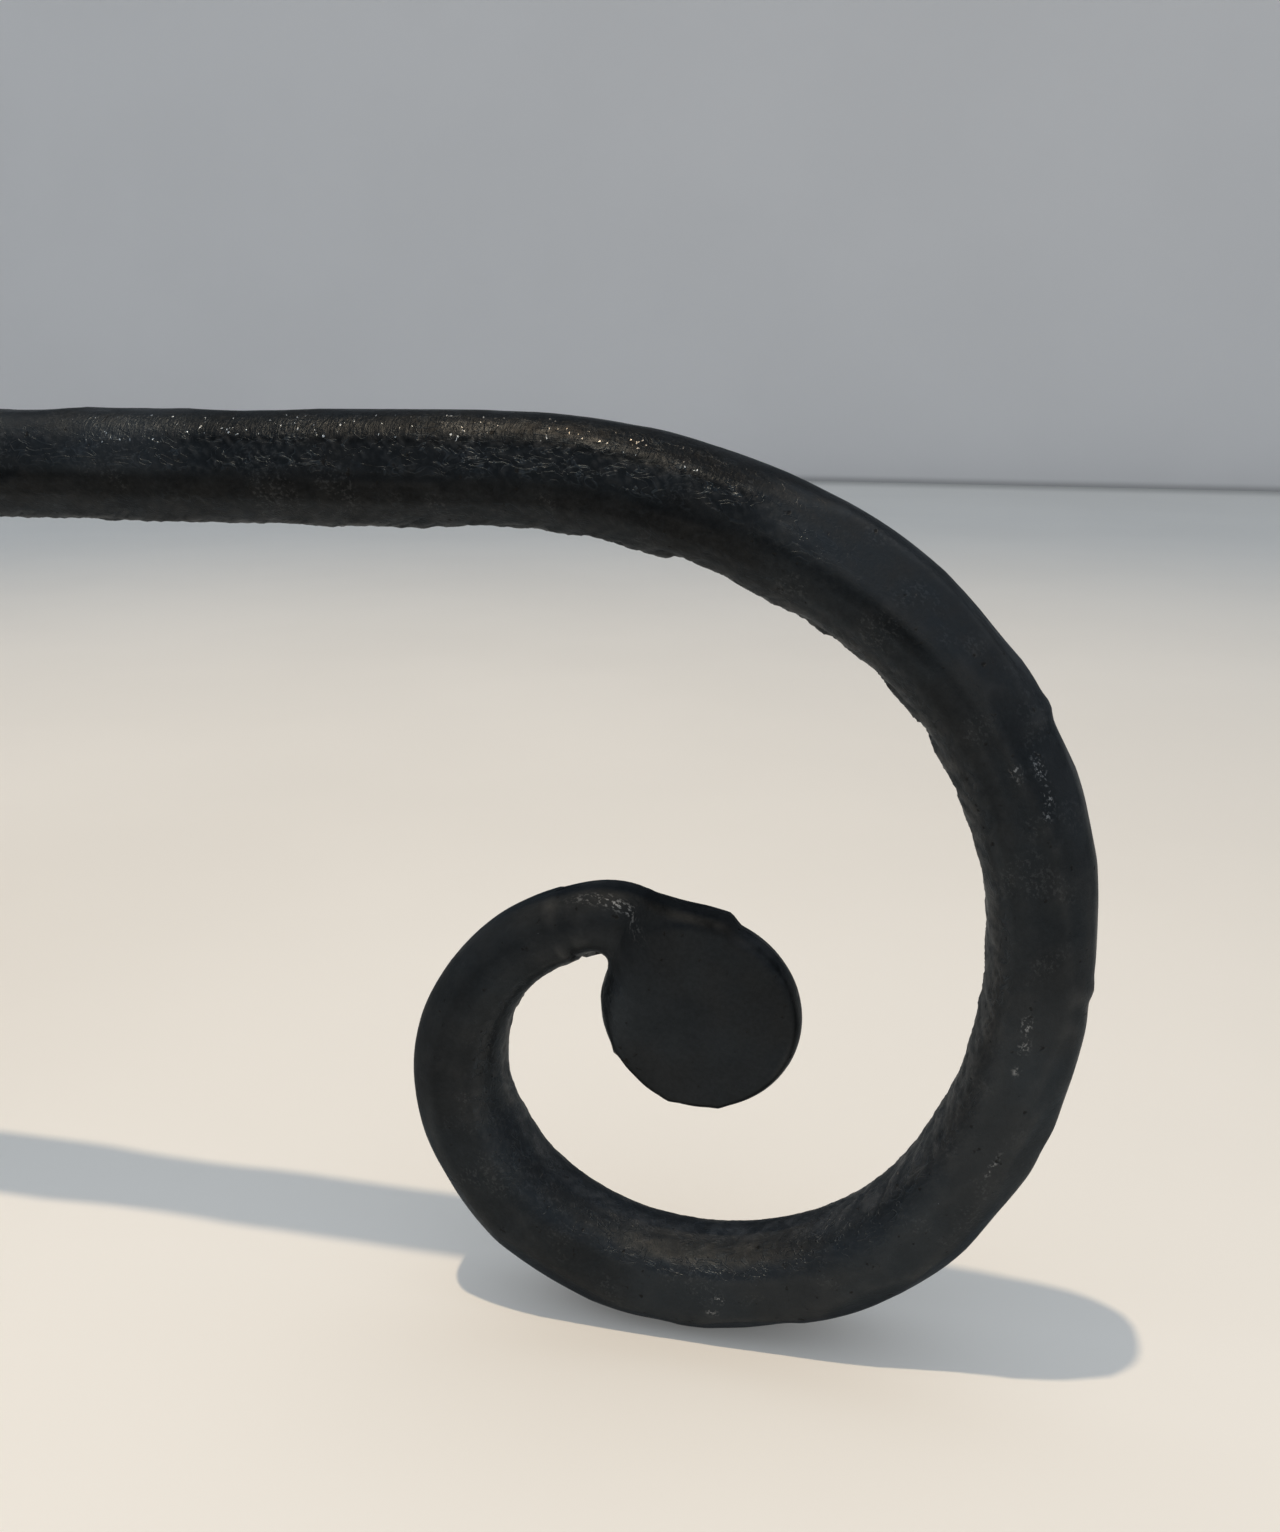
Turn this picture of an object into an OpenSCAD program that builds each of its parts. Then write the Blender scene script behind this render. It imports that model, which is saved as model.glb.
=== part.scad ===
// Forged andiron: a billet bar with a scrolled rear foot, riveted to an upright that stands on
// an arched front foot with a scroll on each side. +X runs to the rear, +Z is up, and the
// origin is on the floor below the middle of the whole andiron.

/* [Billet bar] */
// Thickness of the bar that the logs lie on
bar_t = 18; // [16:0.5:20]
// Distance from the axis of the upright to the first bend of the rear foot
run_length = 325; // [260:5:400]
// Length of the stretch before the first bend that is rounded
rounded_length = 82; // [60:1:120]
// Length over which the square bar turns round
square_to_round = 26; // [15:1:40]

/* [Rear scroll] */
// Radius of the bend where the bar leaves the level
shoulder_r = 101; // [90:0.5:115]
// Sweep of that bend in degrees
shoulder_sweep = 32; // [28:1:34]
// Radius of the tighter bend after it
haunch_r = 62.5; // [55:0.5:75]
// Sweep of the tighter bend
haunch_sweep = 38; // [34:1:40]
// Radius of the nearly upright back
back_r = 79; // [70:0.5:90]
// Sweep of the back
back_sweep = 52; // [48:1:54]
// Radius of the sole, which meets the floor
sole_r = 49; // [44:0.5:54]
// Sweep of the sole
sole_sweep = 96; // [90:1:98]
// Radius of the inner curl
curl_r = 31.5; // [29:0.5:34]
// Sweep of the inner curl
curl_sweep = 128; // [122:1:132]
// Radius of the neck, where the curl meets the penny
neck_r = 12; // [10:0.5:14]
// Sweep of the neck
neck_sweep = 38; // [32:1:42]
// Thickness of the bar at the end of the shoulder
shoulder_t = 17.5; // [16:0.5:19]
// Thickness of the bar at the end of the haunch
haunch_t = 16.5; // [15:0.5:18]
// Thickness of the bar at the end of the back
back_t = 16; // [15:0.5:18]
// Thickness of the bar at the end of the sole
sole_t = 18; // [16:0.5:19]
// Thickness of the bar at the end of the curl
curl_t = 12.5; // [11:0.5:14]
// Width of the bar, across the scroll's plane, at the end of the curl
curl_w = 13; // [11:0.5:15]
// Depth of the small flat that each foot stands on
floor_flat = 0.5; // [0.3:0.1:0.8]

/* [Penny end] */
// Diameter of the flattened end
penny_d = 34; // [28:0.5:38]
// Thickness of the flattened end
penny_t = 6; // [4:0.5:9]
// Distance from the neck to the centre of the flattened end
penny_reach = 15; // [13:0.5:18]
// How far that centre lies to the inner side of the bar's centre line
penny_drop = 8; // [5:0.5:9]
// How far the outer side of the neck is filled out towards a straight line
neck_fill = 2; // [0:0.5:3]

/* [Front foot] */
// Thickness of the foot's bar
foot_t = 16; // [14:0.5:18]
// Size of the bends of the front scrolls, against the rear one
foot_bend_ratio = 0.72; // [0.66:0.01:0.76]
// Length of the level crown between the two scrolls
crown_length = 104; // [90:1:140]
// Diameter of the eye punched in the crown
crown_eye_d = 32; // [28:0.5:38]

/* [Upright] */
// Thickness of the upright at the billet bar
upright_t = 20; // [18:0.5:24]
// Thickness of the upright under the finial
upright_top_t = 16; // [14:0.5:18]
// Thickness of the upset shoulder that stands on the base collar
upright_base_t = 25; // [22:0.5:28]
// Height of the upright's top shoulder above the floor
upright_h = 350; // [300:5:420]
// Diameter of the eye that the billet bar is riveted through
billet_eye_d = 35; // [32:0.5:38]
// How far the faces of that eye stand out from the upright, each side
billet_eye_proud = 0.5; // [0.3:0.1:1.5]

/* [Tenons and rivets] */
// Side of the billet bar's square tenon
billet_tenon = 11; // [9:0.5:13]
// Diameter of the upright's tenon through the front foot
foot_tenon_d = 12; // [10:0.5:14]
// Diameter of the upright's tenon in the finial
finial_tenon_d = 10; // [8:0.5:11]
// Diameter of the log stop's tenon
stop_tenon_d = 8; // [6:0.5:10]
// Gap around each tenon in its hole
tenon_gap = 0.2; // [0.1:0.05:0.4]
// Height of a hammered rivet head
rivet_h = 4; // [3:0.5:5]
// How much wider a rivet head is than its tenon
rivet_spread = 6; // [4:0.5:8]

/* [Collars and washers] */
// Diameter of the base collar
base_collar_d = 36; // [32:0.5:40]
// Thickness of the base collar
base_collar_t = 7; // [5:0.5:9]
// Side of the billet collar
billet_collar_w = 27; // [24:0.5:30]
// Thickness of the billet collar
billet_collar_t = 6; // [4:0.5:8]
// Side of the diamond washer at the front
billet_washer_w = 25; // [22:0.5:28]
// Diameter of the washer under the foot
foot_washer_d = 27; // [22:0.5:30]
// Diameter of the washer under the log stop
stop_washer_d = 18; // [16:0.5:22]
// Thickness of the washers
washer_t = 3; // [2:0.5:4]

/* [Finial] */
// Diameter of the ball
ball_d = 40; // [34:0.5:48]
// Diameter of the ball's neck
ball_neck_d = 19; // [16:0.5:22]
// Height of the ball's neck
ball_neck_h = 9; // [8:0.5:12]
// Diameter of the collar under the ball
finial_collar_d = 27; // [24:0.5:32]
// Thickness of the collar under the ball
finial_collar_t = 6; // [4:0.5:8]
// Diameter of the cross pin
pin_d = 4; // [3:0.25:5]
// Length by which the pin stands out of the neck, each side
pin_proud = 1.2; // [0.5:0.1:2]

/* [Log stop] */
// Distance from the axis of the upright to the log stop
stop_setback = 62; // [55:1:90]
// Height of the log stop above the billet bar
stop_h = 46; // [35:1:60]
// Diameter of the log stop's shank
stop_d = 12; // [11:0.5:14]
// Diameter of the log stop's collar and head
stop_head_d = 19; // [16:0.5:22]

/* [Hidden] */
$fn = 64;

// Colours of scaled and waxed iron
scale_black = [0.13, 0.125, 0.12];
worn_black = [0.2, 0.19, 0.18];

// Corners of a bar's section, and how far a step of the bends turns
sides = 20;
rear_step = 5;
front_step = 8;
penny_steps = 14;
// Squareness of a section: 0 is round and 1 is square with soft corners
round_section = 0;
scroll_section = 0.07;
penny_section = 0.25;
square_section = 1;
// Superellipse power of a round section, what squareness adds to it, and what the square
// section's sides are swollen by before they are hammered flat
round_power = 2;
square_power = 6;
square_swell = 0.03;
// Half of the narrowest section, at the tip of the penny
tip_half = 1;
// How far cutting shapes run past what they cut
past = 1;
// Room left at the bottom of the ball's blind bore
bore_rest = 1;
// Corner cut of the square collar and washer
corner_cut = 3;
// Share of a round edge's thickness that a collar's edge is rounded by
edge_share = 0.4;

// Each bend of a scroll: radius, sweep, and the bar's thickness and width at its end
bends = [
    [shoulder_r, shoulder_sweep, shoulder_t, bar_t],
    [haunch_r, haunch_sweep, haunch_t, bar_t],
    [back_r, back_sweep, back_t, bar_t],
    [sole_r, sole_sweep, sole_t, bar_t],
    [curl_r, curl_sweep, curl_t, curl_w],
    [neck_r, neck_sweep, curl_t, curl_w]
];

// Angle that the bar has turned through, and its place, where bend k starts
function turned(k) = k == 0 ? 0 : turned(k - 1) + bends[k - 1][1];
function swung(r, from, to) = r * [sin(to) - sin(from), cos(to) - cos(from)];
function bend_start(k, ratio) =
    k == 0 ? [0, 0]
    : bend_start(k - 1, ratio) + swung(bends[k - 1][0] * ratio, turned(k - 1), turned(k));
// Thickness and width at the start of bend k
function size_before(k) = k == 0 ? [bar_t, bar_t] : [bends[k - 1][2], bends[k - 1][3]];

// A station of a bar is [x, z, angle turned, thickness, width, squareness].
// Stations of the bends, from the end of the level run, with bends times ratio and sections
// times girth
function bend_stations(ratio, girth, step) = [
    for (k = [0 : len(bends) - 1])
        let (steps = ceil(bends[k][1] / step), start = bend_start(k, ratio), before = size_before(k))
            for (i = [0 : steps - 1])
                let (f = i / steps,
                     angle = turned(k) + f * bends[k][1],
                     place = start + swung(bends[k][0] * ratio, turned(k), angle),
                     t = before[0] + f * (bends[k][2] - before[0]),
                     w = before[1] + f * (bends[k][3] - before[1]))
                    [place[0], place[1], angle, t * girth, w * girth,
                     k == 0 ? f * scroll_section : scroll_section]
];

// Stations of the penny: a disc set to the inner side of a straight neck
function penny_stations(ratio, girth) =
    let (last = len(bends),
         start = bend_start(last, ratio),
         angle = turned(last),
         r = penny_d / 2,
         length = penny_reach + r)
        [for (j = [0 : penny_steps])
            let (u = length * (1 - cos(180 * j / penny_steps)) / 2,
                 chord = sqrt(max(r * r - pow(u - penny_reach, 2), tip_half * tip_half)),
                 neck = u < penny_reach ? curl_t / 2 : -r,
                 f = min(u / penny_reach, 1),
                 outer = max(neck, chord - penny_drop) + neck_fill * sin(180 * f),
                 inner = max(neck, chord + penny_drop),
                 shift = (outer - inner) / 2 * girth)
                [start[0] + u * girth * cos(angle) + shift * sin(angle),
                 start[1] - u * girth * sin(angle) + shift * cos(angle),
                 angle, (outer + inner) * girth, (curl_w + f * (penny_t - curl_w)) * girth,
                 scroll_section + f * (penny_section - scroll_section)]];

// A station moved along X and Z
function moved(s, x, z) = [s[0] + x, s[1] + z, s[2], s[3], s[4], s[5]];
// Place of a station's outer edge
function outer_x(s) = s[0] + s[3] / 2 * sin(s[2]);
function outer_z(s) = s[1] + s[3] / 2 * cos(s[2]);

// Points around one station, in the plane XZ of the bar's bends, with Y across it
function swell_flat(v, half, sq) =
    sign(v) * half * min(pow(abs(v), 2 / (round_power + square_power * sq))
                         * (1 + square_swell * sq), 1);
function ring(s) = [
    for (i = [0 : sides - 1])
        let (a = 360 * i / sides,
             out = swell_flat(sin(a), s[3] / 2, s[5]),
             across = swell_flat(cos(a), s[4] / 2, s[5]))
            [s[0] + out * sin(s[2]), across, s[1] + out * cos(s[2])]
];

// A solid bar through a list of rings
module bar_through(rings) {
    last = len(rings) - 1;
    polyhedron(
        points = [for (r = rings) each r],
        faces = concat(
            [[for (i = [0 : sides - 1]) i]],
            [for (k = [0 : last - 1]) for (i = [0 : sides - 1])
                let (j = (i + 1) % sides, a = k * sides, b = a + sides)
                    each [[a + i, b + i, a + j], [a + j, b + i, b + j]]],
            [[for (i = [sides - 1 : -1 : 0]) last * sides + i]]
        ),
        convexity = 10
    );
}

// Scrolls as drawn from the end of their level run
rear_curve = concat(bend_stations(1, 1, rear_step), penny_stations(1, 1));
// Size of the front foot's sections against those of the billet bar
girth_front = foot_t / bar_t;
front_curve = concat(bend_stations(foot_bend_ratio, girth_front, front_step),
                     penny_stations(foot_bend_ratio, girth_front));

// Height of each bar's centre line, so that its scroll stands on its small flat
billet_z = -min([for (s = rear_curve) outer_z(s)]) - floor_flat;
crown_z = -min([for (s = front_curve) outer_z(s)]) - floor_flat;

// Faces that things seat on, from the upright's axis and from the floor
eye_face = upright_t / 2 + billet_eye_proud;
billet_shoulder = eye_face + billet_collar_t;
rivet_front = eye_face + washer_t + rivet_h;
rear_reach = run_length + max([for (s = rear_curve) outer_x(s)]);
front_reach = max(rivet_front, ball_d / 2, base_collar_d / 2, foot_washer_d / 2);
crown_top = crown_z + foot_t / 2;
crown_bottom = crown_z - foot_t / 2;
upright_base = crown_top + base_collar_t;
ball_base = upright_h + finial_collar_t;
ball_centre = ball_base + ball_neck_h + sqrt(pow(ball_d / 2, 2) - pow(ball_neck_d / 2, 2));
finial_tenon_l = finial_collar_t + ball_neck_h + ball_d / 4;
pin_z = ball_base + ball_neck_h / 2;
billet_top = billet_z + bar_t / 2;
billet_bottom = billet_z - bar_t / 2;

// The upright's axis, with the origin below the middle of the andiron's length
upright_x = (front_reach - rear_reach) / 2;

// A rivet head hammered onto a tenon of width w, standing on the plane Z = 0
module rivet_head(w) {
    half = (w + rivet_spread) / 2;
    r = (half * half + rivet_h * rivet_h) / (2 * rivet_h);
    intersection() {
        translate([0, 0, rivet_h - r]) sphere(r);
        cylinder(h = rivet_h + past, r = half);
    }
}

// A round collar with rounded edges, bored for a tenon, standing on the plane Z = 0
module round_collar(d, t, bore) {
    edge = t * edge_share;
    difference() {
        union() {
            translate([0, 0, edge]) cylinder(h = t - 2 * edge, d = d);
            cylinder(h = t, d = d - 2 * edge);
            for (z = [edge, t - edge])
                translate([0, 0, z])
                    rotate_extrude()
                        translate([d / 2 - edge, 0]) circle(edge);
        }
        translate([0, 0, -past]) cylinder(h = t + 2 * past, d = bore);
    }
}

// A square plate with cut corners and a square hole, on the plane Z = 0
module square_plate(w, t, hole) {
    h = w / 2;
    c = h - corner_cut;
    difference() {
        linear_extrude(t)
            polygon([[h, -c], [h, c], [c, h], [-c, h], [-h, c], [-h, -c], [-c, -h], [c, -h]]);
        translate([0, 0, t / 2]) cube([hole, hole, t + 2 * past], center = true);
    }
}

// The ground below the floor, out to half_l from the origin on every side
module below_floor(half_l) {
    translate([-half_l, -half_l, -half_l]) cube([2 * half_l, 2 * half_l, half_l]);
}

module billet_bar() {
    bend_x = upright_x + run_length;
    shoulder_x = upright_x + billet_shoulder;
    round_x = bend_x - rounded_length;
    run = [
        [shoulder_x, billet_z, 0, bar_t, bar_t, square_section],
        [round_x - square_to_round, billet_z, 0, bar_t, bar_t, square_section],
        [round_x - square_to_round / 2, billet_z, 0, bar_t, bar_t, square_section / 3],
        [round_x, billet_z, 0, bar_t, bar_t, round_section]
    ];
    rings = [for (s = concat(run, [for (s = rear_curve) moved(s, bend_x, billet_z)])) ring(s)];
    tenon_end = upright_x - eye_face - washer_t;
    color(scale_black) {
        difference() {
            bar_through(rings);
            below_floor(run_length + rear_reach);
            translate([upright_x + stop_setback, 0, billet_bottom - past])
                cylinder(h = bar_t + 2 * past, d = stop_tenon_d + 2 * tenon_gap);
        }
        translate([tenon_end, -billet_tenon / 2, billet_z - billet_tenon / 2])
            cube([shoulder_x + past - tenon_end, billet_tenon, billet_tenon]);
        translate([tenon_end, 0, billet_z])
            rotate([0, -90, 0]) rivet_head(billet_tenon);
    }
}

module upright() {
    section = [
        [upright_base, upright_base_t],
        [upright_base + upright_base_t / 4, upright_base_t],
        [upright_base + upright_base_t / 2, upright_t],
        [billet_z + billet_eye_d / 2, upright_t],
        [upright_h, upright_top_t]
    ];
    rings = [for (s = section) ring([0, s[0], -90, s[1], s[1], square_section])];
    tenon_low = crown_bottom - washer_t;
    color(scale_black)
        translate([upright_x, 0, 0]) {
            difference() {
                union() {
                    bar_through(rings);
                    translate([-eye_face, 0, billet_z])
                        rotate([0, 90, 0]) cylinder(h = 2 * eye_face, d = billet_eye_d);
                }
                translate([0, 0, billet_z])
                    cube([2 * eye_face + 2 * past, billet_tenon + 2 * tenon_gap,
                          billet_tenon + 2 * tenon_gap], center = true);
            }
            translate([0, 0, tenon_low])
                cylinder(h = upright_base + past - tenon_low, d = foot_tenon_d);
            translate([0, 0, tenon_low]) rotate([180, 0, 0]) rivet_head(foot_tenon_d);
            difference() {
                translate([0, 0, upright_h - past])
                    cylinder(h = finial_tenon_l + past, d = finial_tenon_d);
                translate([-finial_tenon_d, 0, pin_z])
                    rotate([0, 90, 0]) cylinder(h = 2 * finial_tenon_d, d = pin_d + 2 * tenon_gap);
            }
        }
}

module front_foot() {
    half = [for (s = front_curve) ring(moved(s, crown_length / 2, crown_z))];
    mirrored = [for (k = [len(half) - 1 : -1 : 0]) [for (p = half[k]) [-p[0], p[1], p[2]]]];
    color(scale_black)
        translate([upright_x, 0, 0])
            difference() {
                union() {
                    rotate([0, 0, 90]) bar_through(concat(mirrored, half));
                    translate([0, 0, crown_bottom]) cylinder(h = foot_t, d = crown_eye_d);
                }
                below_floor(crown_length + rear_reach);
                translate([0, 0, crown_bottom - past])
                    cylinder(h = foot_t + 2 * past, d = foot_tenon_d + 2 * tenon_gap);
            }
}

module base_collar() {
    color(worn_black)
        translate([upright_x, 0, crown_top])
            round_collar(base_collar_d, base_collar_t, foot_tenon_d + 2 * tenon_gap);
}

module foot_washer() {
    color(worn_black)
        translate([upright_x, 0, crown_bottom - washer_t])
            round_collar(foot_washer_d, washer_t, foot_tenon_d + 2 * tenon_gap);
}

module billet_collar() {
    color(worn_black)
        translate([upright_x + eye_face, 0, billet_z])
            rotate([0, 90, 0])
                square_plate(billet_collar_w, billet_collar_t, billet_tenon + 2 * tenon_gap);
}

module billet_washer() {
    color(worn_black)
        translate([upright_x - eye_face, 0, billet_z])
            rotate([0, -90, 0])
                square_plate(billet_washer_w, washer_t, billet_tenon + 2 * tenon_gap);
}

module finial_collar() {
    color(worn_black)
        translate([upright_x, 0, upright_h])
            round_collar(finial_collar_d, finial_collar_t, finial_tenon_d + 2 * tenon_gap);
}

module finial_ball() {
    color(scale_black)
        translate([upright_x, 0, 0])
            difference() {
                union() {
                    translate([0, 0, ball_base])
                        cylinder(h = ball_centre - ball_base, d = ball_neck_d);
                    translate([0, 0, ball_centre]) sphere(d = ball_d);
                }
                translate([0, 0, ball_base - past])
                    cylinder(h = finial_tenon_l - finial_collar_t + bore_rest + past,
                             d = finial_tenon_d + 2 * tenon_gap);
                translate([-ball_neck_d, 0, pin_z])
                    rotate([0, 90, 0]) cylinder(h = 2 * ball_neck_d, d = pin_d + 2 * tenon_gap);
            }
}

module finial_pin() {
    half = ball_neck_d / 2 + pin_proud;
    color(worn_black)
        translate([upright_x - half, 0, pin_z])
            rotate([0, 90, 0]) cylinder(h = 2 * half, d = pin_d);
}

module log_stop() {
    tenon_low = billet_bottom - washer_t;
    head_r = stop_head_d / 2;
    color(scale_black)
        translate([upright_x + stop_setback, 0, 0]) {
            translate([0, 0, billet_top]) cylinder(h = stop_d / 3, d = stop_head_d);
            translate([0, 0, billet_top]) cylinder(h = stop_h - head_r, d = stop_d);
            translate([0, 0, billet_top + stop_h - head_r]) sphere(head_r);
            translate([0, 0, tenon_low]) cylinder(h = billet_top + past - tenon_low, d = stop_tenon_d);
            translate([0, 0, tenon_low]) rotate([180, 0, 0]) rivet_head(stop_tenon_d);
        }
}

module stop_washer() {
    color(worn_black)
        translate([upright_x + stop_setback, 0, billet_bottom - washer_t])
            round_collar(stop_washer_d, washer_t, stop_tenon_d + 2 * tenon_gap);
}

billet_bar();
upright();
front_foot();
base_collar();
foot_washer();
billet_collar();
billet_washer();
finial_collar();
finial_ball();
finial_pin();
log_stop();
stop_washer();
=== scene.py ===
"""The looks of a forged andiron: hammered, scaled and waxed iron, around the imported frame.

Metres, with +X to the rear, +Z up and the floor at Z = 0. A bar is drawn as stations along its
centre line. Hammer blows and scale are put on while the bar is still straight, and then it is
bent, as at the anvil.
"""

import math

import bpy
import numpy as np
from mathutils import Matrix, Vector, noise


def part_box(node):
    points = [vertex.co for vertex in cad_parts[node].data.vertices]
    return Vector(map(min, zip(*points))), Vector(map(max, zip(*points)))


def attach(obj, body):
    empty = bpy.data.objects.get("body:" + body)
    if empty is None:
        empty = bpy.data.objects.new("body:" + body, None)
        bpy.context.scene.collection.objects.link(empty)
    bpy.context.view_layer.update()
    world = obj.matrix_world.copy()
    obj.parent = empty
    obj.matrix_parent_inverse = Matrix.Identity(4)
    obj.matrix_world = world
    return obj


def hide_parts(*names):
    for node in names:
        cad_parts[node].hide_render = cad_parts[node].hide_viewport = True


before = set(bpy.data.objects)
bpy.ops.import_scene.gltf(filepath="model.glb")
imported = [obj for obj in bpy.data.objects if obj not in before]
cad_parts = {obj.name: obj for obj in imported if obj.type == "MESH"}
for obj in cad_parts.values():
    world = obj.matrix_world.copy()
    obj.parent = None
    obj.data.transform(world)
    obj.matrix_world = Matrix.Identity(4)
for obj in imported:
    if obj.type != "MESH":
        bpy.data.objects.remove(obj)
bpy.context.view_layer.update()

# ---------------------------------------------------------------- sizes of the forging

BAR = 0.018
FOOT_BAR = 0.016
FOOT_BENDS = 0.72
CROWN = 0.104
RUN = 0.325
# Each bend of a scroll: radius, sweep in degrees, and the bar's thickness and width at its end
BENDS = (
    (0.101, 32, 0.0175, BAR),
    (0.0625, 38, 0.0165, BAR),
    (0.079, 52, 0.016, BAR),
    (0.049, 96, 0.018, BAR),
    (0.0315, 128, 0.0125, 0.013),
    (0.012, 38, 0.0125, 0.0096),
)
NECK = 0.0125
NECK_WIDE = 0.0096
# The penny: radius, thickness, distance from the neck to its centre, and how far that centre
# lies to the inner side of the bar
PENNY_R = 0.0170
PENNY_T = 0.006
PENNY_REACH = 0.0155
PENNY_DROP = 0.0087
# Over what length the penny thins, over what length the rounding of its edge narrows, and to
# what width it narrows
PENNY_THINS = 0.022
PENNY_FLATTENS = 0.011
PENNY_ROUND = 0.0017
# Before the penny the neck widens on its inner side, by how much and over what length, and its
# sides turn flat
FLARE = 0.003
FLARE_LENGTH = 0.005
FLATTENS = 0.010
# Over this length the sections of the bend turn ahead, until they stand across the neck
LEADS = 0.006
TIP = 0.0006
# The straight ridge over the neck: how far it rises, where it ends, and how short its end is
RIDGE_RISE = 0.0031
RIDGE_END = 0.0122
RIDGE_FALL = 0.0032
# Level stretch before the first bend that is round, and the stretch over which it turns round
ROUNDED = 0.082
TURNS_ROUND = 0.026
TENON = 0.011
RIVET_H = 0.004
RIVET_SPREAD = 0.006
HOLE_GAP = 0.0004
PLATE_CUT = 0.003

# Squareness of a section: 0 is round and 1 is square with soft corners
ROUND = 0.0
SCROLL = 0.07
NECK_END = 0.25
PENNY = 0.34
SQUARE = 1.0
ROUND_POWER = 2
SQUARE_POWER = 6
SQUARE_SWELL = 0.03

# Sides of a section in degrees: the outer side of a bend, or the top of the run, the side that
# the photograph is taken from, and the inner side of a bend
OUTER = 90
NEAR = 180
INNER = 270

# Less than any length here, so that nothing is divided by 0
TINY = 1e-12


def middle(node):
    low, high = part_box(node)
    return (low + high) / 2


AXIS = middle("foot_washer").x
BILLET_Z = middle("billet_collar").z
CROWN_Z = (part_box("base_collar")[0].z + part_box("foot_washer")[1].z) / 2

# ---------------------------------------------------------------- stations of a bar


def bend_rows(ratio, girth, first_spacing, spacing):
    """Stations of a scroll's bends, drawn from the end of its level run, and where they end.

    A station is its place along the bar, x, z, the angle turned, thickness, width, squareness.
    """
    rows = []
    along = x = z = turn = 0.0
    thick = wide = BAR
    for radius, sweep, next_thick, next_wide in BENDS:
        r = radius * ratio
        angle = math.radians(sweep)
        steps = math.ceil(r * angle / (spacing if rows else first_spacing))
        first = not rows
        for i in range(steps):
            f = i / steps
            a = turn + f * angle
            rows.append((
                along + f * r * angle,
                x + r * (math.sin(a) - math.sin(turn)),
                z + r * (math.cos(a) - math.cos(turn)),
                a,
                girth * (thick + f * (next_thick - thick)),
                girth * (wide + f * (next_wide - wide)),
                SCROLL * f if first else SCROLL,
            ))
        x += r * (math.sin(turn + angle) - math.sin(turn))
        z += r * (math.cos(turn + angle) - math.cos(turn))
        along += r * angle
        turn += angle
        thick, wide = next_thick, next_wide
    return rows, (along, x, z, turn)


def penny_rows(start, radius, girth, spacing):
    """Stations of the penny: a disc set to the inner side of the neck. It starts a little
    before the end of the last bend, which has a radius."""
    along, x, z, turn = start
    first, length = PENNY_REACH - PENNY_R, PENNY_REACH + PENNY_R
    steps = math.ceil((length - first) * girth / spacing * math.pi / 2)
    rows = []
    for j in range(steps + 1):
        u = first + (length - first) * (1 - math.cos(math.pi * j / steps)) / 2
        chord = math.sqrt(max(PENNY_R ** 2 - (u - PENNY_REACH) ** 2, TIP ** 2))
        ridge = NECK / 2 + RIDGE_RISE * max(u, 0) / RIDGE_END
        falling = float(smooth(u, RIDGE_END, RIDGE_END + RIDGE_FALL))
        outer = chord - PENNY_DROP
        outer += max(ridge - outer, 0) * (1 - falling)
        inner = chord + PENNY_DROP
        inner = max(inner, NECK / 2) if u < PENNY_REACH else inner
        sag = (min(u, 0) * girth) ** 2 / (2 * radius)
        shift = girth * (outer - inner) / 2 - sag
        flat = float(smooth(u, first, PENNY_THINS))
        wide = NECK_WIDE + flat * (PENNY_T - NECK_WIDE)
        rows.append((
            along + u * girth,
            x + girth * u * math.cos(turn) + shift * math.sin(turn),
            z - girth * u * math.sin(turn) + shift * math.cos(turn),
            turn,
            girth * (outer + inner),
            girth * wide,
            NECK_END + flat * (PENNY - NECK_END),
        ))
    return rows


def scroll_rows(ratio, girth, first_spacing, spacing):
    rows, end = bend_rows(ratio, girth, first_spacing, spacing)
    radius = BENDS[-1][0] * ratio
    overlap = (PENNY_R - PENNY_REACH) * girth
    starts = end[0] - overlap
    rows = [flared(row, girth, starts, overlap / radius) for row in rows
            if row[0] < starts - spacing / 2]
    return rows + penny_rows(end, radius, girth, spacing)


def flared(row, girth, penny_starts, lead):
    """A station of the neck near the penny: wider on its inner side, flatter, and turned ahead
    by up to the angle lead."""
    along, x, z, turn, thick, wide, square = row
    before = (penny_starts - along) / girth
    more = girth * FLARE * max(1 - before / FLARE_LENGTH, 0)
    flat = 1 - float(smooth(before, 0, FLATTENS))
    turn += lead * (1 - float(smooth(before, 0, LEADS)))
    return (along, x - more / 2 * math.sin(turn), z - more / 2 * math.cos(turn), turn,
            thick + more, wide, square + flat * (NECK_END - square))


def level_rows(start, end, x_of_zero, z, spacing, size_at):
    """Stations of a level stretch between two places along the bar."""
    steps = math.ceil((end - start) / spacing)
    places = [start + (end - start) * i / steps for i in range(steps)]
    return [(s, x_of_zero + s, z, 0.0, *size_at(s)) for s in places]


def placed(rows, x, z):
    return [(s, x + px, z + pz, *rest) for s, px, pz, *rest in rows]


def smooth(value, low, high):
    """0 below low, 1 above high, and smooth between them."""
    f = np.clip((value - low) / (high - low), 0, 1)
    return f * f * (3 - 2 * f)


# ---------------------------------------------------------------- rings around a bar

FINE_SIDES = 720


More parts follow.
